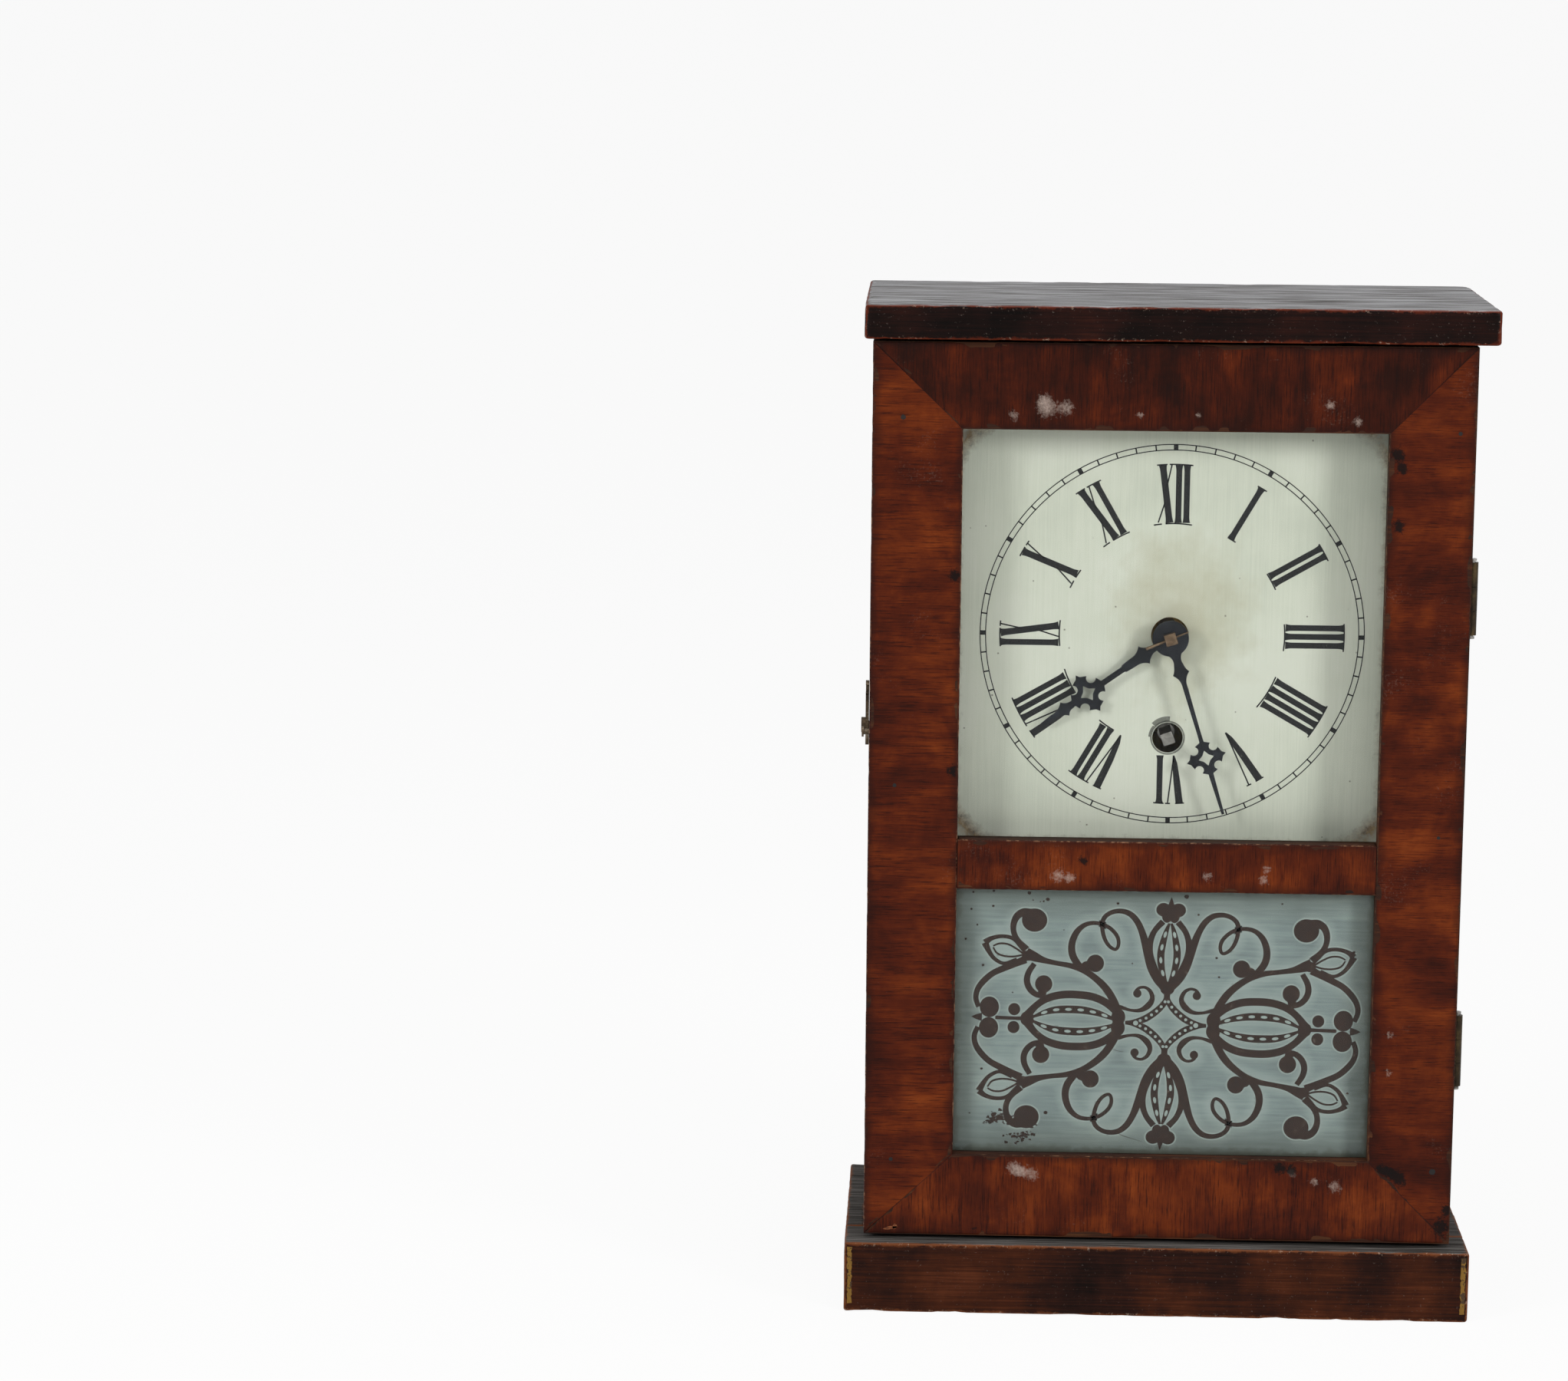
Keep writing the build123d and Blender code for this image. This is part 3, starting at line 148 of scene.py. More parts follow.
def new_material(name):
    """An empty material, its tree and a node that gives the place in millimetres."""
    material = bpy.data.materials.new(name)
    material.use_nodes = True
    tree = material.node_tree
    tree.nodes.clear()
    spot = add(tree, "TexCoord").outputs["Object"]
    return material, tree, add(tree, "Mapping", {"Scale": (1 / MM, 1 / MM, 1 / MM), "Vector": spot})


def value_noise(points, size, seed):
    """A smooth random value from -1 to 1 at each point: random numbers on a cubic lattice, blended by smoothstep."""
    cells = 64
    lattice = np.random.default_rng(seed).uniform(-1, 1, (cells, cells, cells))
    scaled = points / size
    base = np.floor(scaled).astype(int)
    part = scaled - base
    part = part * part * (3 - 2 * part)
    total = np.zeros(len(points))
    for corner in np.ndindex(2, 2, 2):
        weight = np.prod(np.where(np.array(corner) == 1, part, 1 - part), axis=1)
        at = (base + np.array(corner)) % cells
        total += weight * lattice[at[:, 0], at[:, 1], at[:, 2]]
    return total


def make_piece(name, shape, material, body, marks=None, smooth=False):
    """A mesh object at the origin from (points in millimetres, faces), with float marks per point for its material."""
    points, faces = shape
    mesh = bpy.data.meshes.new(name)
    mesh.from_pydata((np.asarray(points) * MM).tolist(), [], faces)
    for mark, values in (marks or {}).items():
        layer = mesh.attributes.new(mark, "FLOAT", "POINT")
        layer.data.foreach_set("value", np.asarray(values, dtype=np.float32))
    shell = bmesh.new()
    shell.from_mesh(mesh)
    bmesh.ops.recalc_face_normals(shell, faces=shell.faces)
    shell.to_mesh(mesh)
    shell.free()
    mesh.polygons.foreach_set("use_smooth", np.full(len(mesh.polygons), smooth))
    mesh.materials.append(material)
    piece = bpy.data.objects.new(name, mesh)
    bpy.context.scene.collection.objects.link(piece)
    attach(piece, body)
    return piece


def joined(parts):
    """Several (points, faces) shapes as one."""
    points = []
    faces = []
    count = 0
    for shape_points, shape_faces in parts:
        points.append(shape_points)
        faces += [[count + i for i in face] for face in shape_faces]
        count += len(shape_points)
    return np.concatenate(points), faces


def spaced(length, fine, step):
    """Distances along one side of a board: close together near both ends, then about one step apart."""
    ends = np.array([0.0, 0.25, 0.55, 1.0, 1.7]) * fine
    count = max(2, int(round((length - 2 * ends[-1]) / step)) + 1)
    middle = np.linspace(ends[-1], length - ends[-1], count)
    return np.unique(np.round(np.concatenate([ends, middle, length - ends]), 5))


def board_grid(size, fine, step):
    """The closed surface of a box as six grids that share the points of their edges."""
    sides = [spaced(side, near, step) for side, near in zip(size, fine)]
    points = []
    quads = []
    count = 0
    for k in range(3):
        a = (k + 1) % 3
        b = (k + 2) % 3
        for level in (0.0, size[k]):
            grid_a, grid_b = np.meshgrid(sides[a], sides[b], indexing="ij")
            face = np.zeros(grid_a.shape + (3,))
            face[..., a] = grid_a
            face[..., b] = grid_b
            face[..., k] = level
            index = np.arange(grid_a.size).reshape(grid_a.shape) + count
            ring = [index[:-1, :-1], index[1:, :-1], index[1:, 1:], index[:-1, 1:]]
            if level == 0.0:
                ring.reverse()
            quads.append(np.stack(ring, axis=-1).reshape(-1, 4))
            points.append(face.reshape(-1, 3))
            count += grid_a.size
    points = np.concatenate(points)
    shared, where = np.unique(np.round(points, 4), axis=0, return_inverse=True)
    return shared, where.reshape(-1)[np.concatenate(quads)]


def worn_board(low, high, rounding, step, wear, seed):
    """A board with rounded, worn arrises. Points past the inner block are drawn onto an ellipsoid round its corner,
    then pushed in by noise, most at the arrises: bites and smaller nicks up to the depth of wear, fading as a bell
    curve of the distance to the arris, and a slight swell all over. Gives (points, faces), the distance to the arris
    and how far a face looks up."""
    size = high - low
    rounding = np.array(rounding)
    points, quads = board_grid(size, rounding, step)
    near = np.sort(np.minimum(points, size - points), axis=1)
    edge = near[:, 1]
    inner = np.clip(points, rounding, size - rounding)
    reach = (points - inner) / rounding
    out = reach / np.maximum(np.linalg.norm(reach, axis=1, keepdims=True), 1e-9)
    worn = inner + rounding * out
    at_arris = np.exp(-(edge / ARRIS_WEAR_REACH) ** 2)
    bites = np.clip(value_noise(points + low, BITE_LENGTH, seed) - 0.15, 0, 1) * at_arris
    nicks = np.clip(value_noise(points + low, NICK_LENGTH, seed + 1) - 0.45, 0, 1) * at_arris
    swell = 0.5 + 0.5 * value_noise(points + low, SWELL_LENGTH, seed + 2)
    depth = wear * (bites + 0.9 * nicks) + 0.06 * wear * swell
    return (worn - out * depth[:, None] + low, quads.tolist()), edge, out[:, 2]


def curve(points, spacing):
    """A Catmull-Rom curve through rows of (across, up, width), with a point about every spacing."""
    rows = np.array(points, dtype=float)
    ends = np.concatenate([[2 * rows[0] - rows[1]], rows, [2 * rows[-1] - rows[-2]]])
    pieces = []
    for i in range(len(rows) - 1):
        a, b, c, d = ends[i:i + 4]
        count = max(2, int(np.hypot(*(c - b)[:2]) / spacing))
        t = np.linspace(0, 1, count, endpoint=False)[:, None]
        bend = 2 * b + (c - a) * t + (2 * a - 5 * b + 4 * c - d) * t ** 2 + (3 * b - a - 3 * c + d) * t ** 3
        pieces.append(bend / 2)
    return np.concatenate(pieces + [rows[-1:]])


def strip(path, front, thick, closed=False):
    """A flat strip of rectangular section along rows of (x, z, width), with four corners at each row: half the width
    to each side of the path, at the front and at the back."""
    spots = path[:, :2]
    if closed:
        lean = np.roll(spots, -1, axis=0) - np.roll(spots, 1, axis=0)
    else:
        lean = np.gradient(spots, axis=0)
    lean = lean / np.linalg.norm(lean, axis=1, keepdims=True)
    side = np.stack([-lean[:, 1], lean[:, 0]], axis=1) * path[:, 2:3] / 2
    left = spots + side
    right = spots - side
    ring = np.zeros((len(path), 4, 3))
    for k, (flat, y) in enumerate(((left, front), (right, front), (right, front + thick), (left, front + thick))):
        ring[:, k, 0] = flat[:, 0]
        ring[:, k, 1] = y
        ring[:, k, 2] = flat[:, 1]
    index = np.arange(len(path) * 4).reshape(-1, 4)
    ahead = np.roll(index, -1, axis=0)
    last = len(path) if closed else len(path) - 1
    turned = np.roll(index, -1, axis=1)
    turned_ahead = np.roll(ahead, -1, axis=1)
    quads = np.stack([index, turned, turned_ahead, ahead], axis=-1)[:last].reshape(-1, 4).tolist()
    if not closed:
        quads += [index[0].tolist(), index[-1][::-1].tolist()]
    return ring.reshape(-1, 3), quads


def disc(centre, radii, front, thick, turn=0.0, sides=20, rough=0.0, seed=0):
    """A flat oval with a rim: the radii times the cosine and the sine of the angle, then turned. Each point's radius
    may waver by a share called rough."""
    angle = np.arange(sides) * 2 * np.pi / sides
    waver = 1 + rough * np.random.default_rng(seed).uniform(-1, 1, sides)
    flat = np.stack([radii[0] * np.cos(angle), radii[1] * np.sin(angle)], axis=1) * waver[:, None]
    c, s = math.cos(turn), math.sin(turn)
    flat = flat @ np.array([[c, s], [-s, c]]) + np.array(centre)
    ring = np.zeros((2, sides, 3))
    ring[:, :, 0] = flat[:, 0]
    ring[:, :, 2] = flat[:, 1]
    ring[0, :, 1] = front
    ring[1, :, 1] = front + thick
    near = np.arange(sides)
    far = near + sides
    quads = np.stack([near, np.roll(near, -1), np.roll(far, -1), far], axis=1).tolist()
    return ring.reshape(-1, 3), quads + [near[::-1].tolist(), far.tolist()]


# Materials


def mahogany(name, along_x, seed, dark, bright):
    """Cross-banded mahogany veneer under old shellac. Fine pores run with the grain, wider bands of light and dark
    lie across it, and cloudy figure glows orange where the polish is thin. Worn pale at the arrises, sooty in the
    joints. Real pores are about 0.1 mm wide: they are drawn 0.4 mm wide and 7 mm long, so that they show. The bands
    are 5 mm wide and 33 mm long, and the clouds of figure 22 mm. Shellac is 1.5 in IOR, but old and hazy, so its
    shine is held low."""
    material, tree, place = new_material(name)
    fibre_scale = (0.15, 0.5, 2.6) if along_x else (2.6, 0.5, 0.15)
    band_scale = (0.03, 0.1, 0.2) if along_x else (0.2, 0.1, 0.03)
    moved = add(tree, "Mapping", {"Location": (seed * 37.0, seed * 11.0, seed * 23.0), "Vector": place})
    fibre_at = add(tree, "Mapping", {"Scale": fibre_scale, "Vector": moved})
    band_at = add(tree, "Mapping", {"Scale": band_scale, "Vector": moved})
    fibre = add(tree, "TexNoise", {"Scale": 1.0, "Detail": 4.0, "Roughness": 0.62, "Vector": fibre_at})
    band = add(tree, "TexNoise", {"Scale": 1.0, "Detail": 3.0, "Distortion": 0.2, "Vector": band_at})
    cloud = add(tree, "TexNoise", {"Scale": 0.045, "Detail": 5.0, "Roughness": 0.62, "Distortion": 0.3,
                                   "Vector": moved})
    half = add(tree, "Math", {"operation": "MULTIPLY", 0: band, 1: 0.26})
    most = add(tree, "Math", {"operation": "MULTIPLY_ADD", 0: cloud, 1: 0.54, 2: half})
    figure = add(tree, "Math", {"operation": "MULTIPLY_ADD", 0: fibre, 1: 0.2, 2: most})
    colour = add(tree, "ValToRGB", {"stops": [(0.31, dark[0]), (0.42, dark[1]), (0.5, bright[0]), (0.59, bright[1]),
                                    (0.7, bright[2])], "Fac": figure})
    # Open pores are fine dark lines along the grain
    pores = add(tree, "MapRange", {"span": (0.33, 0.45, 0.62, 0.0), "Value": fibre})
    pored = add(tree, "Mix", {"data_type": "RGBA", "Factor": pores, "A": colour, "B": "#180603"})
    # Darker over the last few millimetres before an arris, over a width that wavers, and dark in the joints
    edge = add(tree, "Attribute", {"attribute_name": "edge"})
    joint = add(tree, "Attribute", {"attribute_name": "joint"})
    blotch_noise = add(tree, "TexNoise", {"Scale": 0.11, "Detail": 3.0, "Vector": moved})
    reach = add(tree, "Math", {"operation": "MULTIPLY_ADD", 0: blotch_noise, 1: 9.0, 2: -2.0})
    near = add(tree, "MapRange", {"From Min": 0.0, "To Min": 0.72, "To Max": 0.0, "Value": edge, "From Max": reach})
    darkened_edge = add(tree, "Mix", {"data_type": "RGBA", "Factor": near, "A": pored, "B": "#1C0A07"})
    seam = add(tree, "MapRange", {"span": (0.05, 0.45, 0.85, 0.0), "Value": joint})
    seamed = add(tree, "Mix", {"data_type": "RGBA", "Factor": seam, "A": darkened_edge, "B": "#140807"})
    # Bare pale wood where the arris is rubbed through, in short broken runs
    rubs = add(tree, "TexNoise", {"Scale": 0.5, "Detail": 4.0, "Roughness": 0.75, "Vector": moved})
    broken = add(tree, "ValToRGB", {"stops": [(0.5, "#000000"), (0.6, "#FFFFFF")], "Fac": rubs})
    at_arris = add(tree, "MapRange", {"span": (0.05, 0.42, 0.8, 0.0), "Value": edge})
    rubbed = add(tree, "Math", {"operation": "MULTIPLY", 0: broken, 1: at_arris})
    bare = add(tree, "Mix", {"data_type": "RGBA", "Factor": rubbed, "A": seamed, "B": "#9A7256"})
    # Pale dust caught in the pores, in patches
    dots = add(tree, "TexNoise", {"Scale": 1.3, "Detail": 2.0, "Roughness": 0.8, "Vector": moved})
    patch = add(tree, "TexNoise", {"Scale": 0.06, "Detail": 2.0, "Vector": moved})
    both = add(tree, "Math", {"operation": "MULTIPLY", 0: dots, 1: patch})
    dust = add(tree, "ValToRGB", {"stops": [(0.39, "#000000"), (0.5, "#6A6A6A")], "Fac": both})
    dusty = add(tree, "Mix", {"data_type": "RGBA", "Factor": dust, "A": bare, "B": "#8C7468"})
    # Splashes of old paint and burnt spots, each a soft mark on the mesh that fine noise breaks up
    fine = add(tree, "TexNoise", {"Scale": 0.9, "Detail": 5.0, "Roughness": 0.75, "Vector": moved})
    scuff = add(tree, "Attribute", {"attribute_name": "scuff"})
    scuffed = add(tree, "Math", {"operation": "MULTIPLY_ADD", 0: fine, 1: 2.2, 2: scuff})
    paint = add(tree, "MapRange", {"span": (1.6, 2.6, 0.0, 0.8), "Value": scuffed})
    splashed = add(tree, "Mix", {"data_type": "RGBA", "Factor": paint, "A": dusty, "B": "#B3A196"})
    burn = add(tree, "Attribute", {"attribute_name": "burn"})
    charred = add(tree, "Math", {"operation": "MULTIPLY_ADD", 0: fine, 1: 2.0, 2: burn})
    black = add(tree, "MapRange", {"span": (1.3, 1.65, 0.0, 0.92), "Value": charred})
    burnt = add(tree, "Mix", {"data_type": "RGBA", "Factor": black, "A": splashed, "B": "#0C0807"})
    rough = add(tree, "MapRange", {"span": (0.35, 0.65, 0.3, 0.52), "Value": blotch_noise})
    bump = add(tree, "Bump", {"Strength": 0.25, "Distance": 0.00012, "Height": figure})
    surface = add(tree, "BsdfPrincipled", {"IOR": 1.5, "Specular IOR Level": 0.09, "Base Color": burnt,
                                           "Roughness": rough, "Normal": bump})
    add(tree, "OutputMaterial", {"Surface": surface})
    return material


def stained_board(name, front, top_tones_and_sheen, arris, seed):
    """A softwood board under dark stain and old varnish. Upward faces take their own tones: grey from the weather with
    long open grain, and on the cap paler still as painted sheen. The arrises are rubbed to red-brown with pale nicks.
    Growth rings lie 0.8 mm apart and run 29 mm before they change, clouds of stain are 29 mm, rubbed runs 6 mm, nicks
    1.3 mm and grit 0.9 mm apart, drawn coarse to show."""
    material, tree, place = new_material(name)
    moved = add(tree, "Mapping", {"Location": (seed * 17.0, seed * 5.0, seed * 31.0), "Vector": place})
    grain_at = add(tree, "Mapping", {"Scale": (0.035, 1.1, 1.4), "Vector": moved})
    grain = add(tree, "TexNoise", {"Scale": 1.0, "Detail": 5.0, "Roughness": 0.65, "Distortion": 0.3,
                                   "Vector": grain_at})
    cloud = add(tree, "TexNoise", {"Scale": 0.035, "Detail": 4.0, "Roughness": 0.6, "Vector": moved})
    blend = add(tree, "Mix", {"data_type": "FLOAT", "Factor": 0.35, "A": cloud, "B": grain})
    face = add(tree, "ValToRGB", {"stops": [(0.38, front[0]), (0.48, front[1]), (0.58, front[2]), (0.68, front[3])],
                                  "Fac": blend})
    # Upward faces: grey from the weather, and on the cap paler still as painted sheen
    weathered_and_sheen = add(tree, "ValToRGB", {"stops": [(0.34, top_tones_and_sheen[0]), (0.45, top_tones_and_sheen[1]), (0.56, top_tones_and_sheen[2]),
                                       (0.68, top_tones_and_sheen[3])], "Fac": grain})
    up = add(tree, "Attribute", {"attribute_name": "up"})
    looks_up = add(tree, "MapRange", {"span": (0.45, 0.85, 0.0, 1.0), "Value": up})
    both = add(tree, "Mix", {"data_type": "RGBA", "Factor": looks_up, "A": face, "B": weathered_and_sheen})
    edge = add(tree, "Attribute", {"attribute_name": "edge"})
    rubs = add(tree, "TexNoise", {"Scale": 0.16, "Detail": 5.0, "Roughness": 0.7, "Vector": moved})
    width = add(tree, "MapRange", {"span": (0.38, 0.62, 0.25, 1.5), "Value": rubs})
    rubbed = add(tree, "MapRange", {"From Min": 0.1, "To Min": 0.85, "To Max": 0.0, "Value": edge, "From Max": width})
    worn = add(tree, "Mix", {"data_type": "RGBA", "Factor": rubbed, "A": both, "B": arris})
    nick = add(tree, "TexNoise", {"Scale": 0.75, "Detail": 3.0, "Roughness": 0.8, "Vector": moved})
    nicks = add(tree, "ValToRGB", {"stops": [(0.6, "#000000"), (0.66, "#C8C8C8")], "Fac": nick})
    at_arris = add(tree, "MapRange", {"span": (0.3, 1.3, 1.0, 0.0), "Value": edge})
    nicked = add(tree, "Math", {"operation": "MULTIPLY", 0: nicks, 1: at_arris})
    pale = add(tree, "Mix", {"data_type": "RGBA", "Factor": nicked, "A": worn, "B": "#B39A86"})
    # Grit and dust stand on the dark face as small pale specks
    grit = add(tree, "TexNoise", {"Scale": 1.1, "Detail": 2.0, "Roughness": 0.9, "Vector": moved})
    specks = add(tree, "ValToRGB", {"stops": [(0.66, "#000000"), (0.74, "#8A8A8A")], "Fac": grit})
    gritty = add(tree, "Mix", {"data_type": "RGBA", "Factor": specks, "A": pale, "B": "#877A72"})
    rough = add(tree, "MapRange", {"span": (0.3, 0.7, 0.28, 0.55), "Value": cloud})
    bump = add(tree, "Bump", {"Strength": 0.5, "Distance": 0.0003, "Height": grain})
    dull = add(tree, "Mix", {"data_type": "FLOAT", "Factor": looks_up, "A": rough, "B": 0.82})
    surface = add(tree, "BsdfPrincipled", {"IOR": 1.5, "Specular IOR Level": 0.06, "Base Color": gritty,
                                           "Roughness": dull, "Normal": bump})
    add(tree, "OutputMaterial", {"Surface": surface})
    return material


def bare_wood(name, grain_scale, stops, seed):
    """Sawn softwood, brown with age and dust: soft growth bands 1.1 mm wide and 33 mm long, stains of about 33 mm,
    and a fuzzy, matt face."""
    material, tree, place = new_material(name)
    moved = add(tree, "Mapping", {"Location": (seed * 13.0, seed * 7.0, seed * 3.0), "Scale": grain_scale,
                                  "Vector": place})
    growth = add(tree, "TexNoise", {"Scale": 1.0, "Detail": 4.0, "Roughness": 0.6, "Distortion": 0.8, "Vector": moved})
    stain = add(tree, "TexNoise", {"Scale": 0.03, "Detail": 3.0, "Vector": place})
    blend = add(tree, "Mix", {"data_type": "FLOAT", "Factor": 0.4, "A": growth, "B": stain})
    colour = add(tree, "ValToRGB", {"stops": stops, "Fac": blend})
    rough = add(tree, "MapRange", {"span": (0.3, 0.7, 0.62, 0.85), "Value": growth})
    bump = add(tree, "Bump", {"Strength": 0.4, "Distance": 0.0003, "Height": growth})
    surface = add(tree, "BsdfPrincipled", {"IOR": 1.5, "Specular IOR Level": 0.14, "Base Color": colour,
                                           "Roughness": rough, "Normal": bump})
    add(tree, "OutputMaterial", {"Surface": surface})
    return material


def worked_metal(name, metallic, stops, rough_from, rough_to, grain_scale, seed):
    """Old clock metal: drawn or rolled, with fine marks, and tarnish in soft clouds of 6 mm that also dulls it. The
    marks are drawn 0.3 to 0.8 mm apart, coarser than real ones, so that they show."""
    material, tree, place = new_material(name)
    moved = add(tree, "Mapping", {"Location": (seed * 3.0, seed * 7.0, seed * 5.0), "Vector": place})
    marks_at = add(tree, "Mapping", {"Scale": grain_scale, "Vector": moved})
    marks = add(tree, "TexNoise", {"Scale": 1.0, "Detail": 3.0, "Roughness": 0.7, "Vector": marks_at})
    tarnish = add(tree, "TexNoise", {"Scale": 0.16, "Detail": 5.0, "Roughness": 0.65, "Vector": moved})
    blend = add(tree, "Mix", {"data_type": "FLOAT", "Factor": 0.3, "A": tarnish, "B": marks})
    colour = add(tree, "ValToRGB", {"stops": stops, "Fac": blend})
    rough = add(tree, "MapRange", {"span": (0.35, 0.65, rough_to, rough_from), "Value": blend})
    bump = add(tree, "Bump", {"Strength": 0.15, "Distance": 0.00005, "Height": marks})
    surface = add(tree, "BsdfPrincipled", {"Metallic": metallic, "Base Color": colour, "Roughness": rough,
                                           "Normal": bump})
    add(tree, "OutputMaterial", {"Surface": surface})
    return material


def dial_paint():
    """Aged off-white paint on sheet zinc. Upright brush marks 0.3 mm apart and 20 mm long, a warm bloom round the
    arbor, freckles of dirt 6 mm apart, and rust-brown stain that has crept in from the corners and the right side."""
    material, tree, place = new_material("painted_zinc_dial")
    brush_at = add(tree, "Mapping", {"Scale": (3.0, 1.0, 0.05), "Vector": place})
    brush = add(tree, "TexNoise", {"Scale": 1.0, "Detail": 3.0, "Roughness": 0.6, "Vector": brush_at})
    cloud = add(tree, "TexNoise", {"Scale": 0.03, "Detail": 4.0, "Vector": place})
    tone = add(tree, "Mix", {"data_type": "FLOAT", "Factor": 0.3, "A": cloud, "B": brush})
    paint = add(tree, "ValToRGB", {"stops": [(0.36, "#DADECF"), (0.5, "#E6E9DA"), (0.62, "#EDEFE2")], "Fac": tone})
    # Warm bloom: ovals of handling dirt round the centre and below left of it
    from_centre = add(tree, "Mapping", {"Location": (-5.0, 0.0, -212.0), "Vector": place})
    flattened = add(tree, "VectorMath", {"operation": "MULTIPLY", 0: from_centre, 1: (1.0, 0.0, 0.8)})
    span = add(tree, "VectorMath", {"operation": "LENGTH", 0: flattened})
    smudge = add(tree, "TexNoise", {"Scale": 0.09, "Detail": 4.0, "Roughness": 0.65, "Vector": place})
    wander = add(tree, "Math", {"operation": "MULTIPLY_ADD", 0: smudge, 1: 38.0, 2: span})
    bloom = add(tree, "MapRange", {"span": (22.0, 44.0, 0.55, 0.0), "Value": wander})
    warm = add(tree, "Mix", {"data_type": "RGBA", "Factor": bloom, "A": paint, "B": "#BFB797"})
    # Stain from the edges of the window: distance outside a rounded rectangle, made ragged by noise
    window = add(tree, "VectorMath", {"operation": "SUBTRACT", 0: place, 1: (0.9, 0.0, 205.2)})
    outward = add(tree, "VectorMath", {"operation": "ABSOLUTE", 0: window})
    beyond = add(tree, "VectorMath", {"operation": "SUBTRACT", 0: outward, 1: (46.9, 900.0, 46.5)})
    clipped = add(tree, "VectorMath", {"operation": "MAXIMUM", 0: beyond, 1: (0.0, 0.0, 0.0)})
    corner = add(tree, "VectorMath", {"operation": "LENGTH", 0: clipped})
    ragged = add(tree, "TexNoise", {"Scale": 0.42, "Detail": 6.0, "Roughness": 0.75, "Vector": place})
    fray = add(tree, "Math", {"operation": "MULTIPLY_ADD", 0: ragged, 1: 7.0, 2: corner})
    stain = add(tree, "MapRange", {"span": (18.4, 29.5, 0.0, 1.0), "Value": fray})
    band = add(tree, "ValToRGB", {"stops": [(0.0, "#000000"), (0.34, "#F0F0F0"), (0.6, "#808080"), (1.0, "#505050")],
                                  "Fac": stain})
    patchy = add(tree, "MapRange", {"span": (0.4, 0.56, 0.4, 1.0), "Value": smudge})
    creep = add(tree, "Math", {"operation": "MULTIPLY", 0: band, 1: patchy})
    rust = add(tree, "ValToRGB", {"stops": [(0.35, "#A8823C"), (0.5, "#8A5E22"), (0.64, "#3A2410")], "Fac": ragged})
    stained = add(tree, "Mix", {"data_type": "RGBA", "Factor": creep, "A": warm, "B": rust})
    fleck = add(tree, "TexVoronoi", {"Scale": 0.17, "Randomness": 1.0, "Vector": place})
    dot = add(tree, "MapRange", {"span": (0.035, 0.06, 0.7, 0.0), "Value": fleck})
    flecked = add(tree, "Mix", {"data_type": "RGBA", "Factor": dot, "A": stained, "B": "#6B6450"})
    rough = add(tree, "MapRange", {"span": (0.35, 0.65, 0.42, 0.58), "Value": cloud})
    bump = add(tree, "Bump", {"Strength": 0.25, "Distance": 0.00006, "Height": brush})
    surface = add(tree, "BsdfPrincipled", {"IOR": 1.5, "Base Color": flecked, "Roughness": rough, "Normal": bump})
    add(tree, "OutputMaterial", {"Surface": surface})
    return material


def flat_ink(name, base, chip, chip_size, chip_from, roughness):
    """A thin dry print or film whose small chips show the ground under it. chip_size is how many chips there are to a
    millimetre."""
    material, tree, place = new_material(name)
    wear = add(tree, "TexNoise", {"Scale": chip_size, "Detail": 4.0, "Roughness": 0.7, "Vector": place})
    colour = add(tree, "ValToRGB", {"stops": [(0.3, base[0]), (chip_from - 0.02, base[1]), (chip_from + 0.03, chip)],
                                    "Fac": wear})
    rough = add(tree, "MapRange", {"span": (0.3, 0.7, roughness - 0.08, roughness + 0.08), "Value": wear})
    surface = add(tree, "BsdfPrincipled", {"IOR": 1.5, "Specular IOR Level": 0.3, "Base Color": colour,
                                           "Roughness": rough})
    add(tree, "OutputMaterial", {"Surface": surface})
    return material


def window_glass():
    """Old drawn window glass, 1.6 mm: it lets light straight through and mirrors a little, more at a slant. Its
    faint waves, about 33 mm long, bend only the mirror."""
    material, tree, place = new_material("drawn_window_glass")
    waves = add(tree, "TexNoise", {"Scale": 0.03, "Detail": 1.0, "Vector": place})
    bump = add(tree, "Bump", {"Strength": 0.3, "Distance": 0.0006, "Height": waves})
    clear = add(tree, "BsdfTransparent", {"Color": "#FDFEFD"})
    mirror = add(tree, "BsdfAnisotropic", {"Roughness": 0.03, "Normal": bump})
    slant = add(tree, "Fresnel", {"IOR": 1.2, "Normal": bump})
    both = add(tree, "MixShader", {0: slant, 1: clear, 2: mirror})
    add(tree, "OutputMaterial", {"Surface": both})
    return material


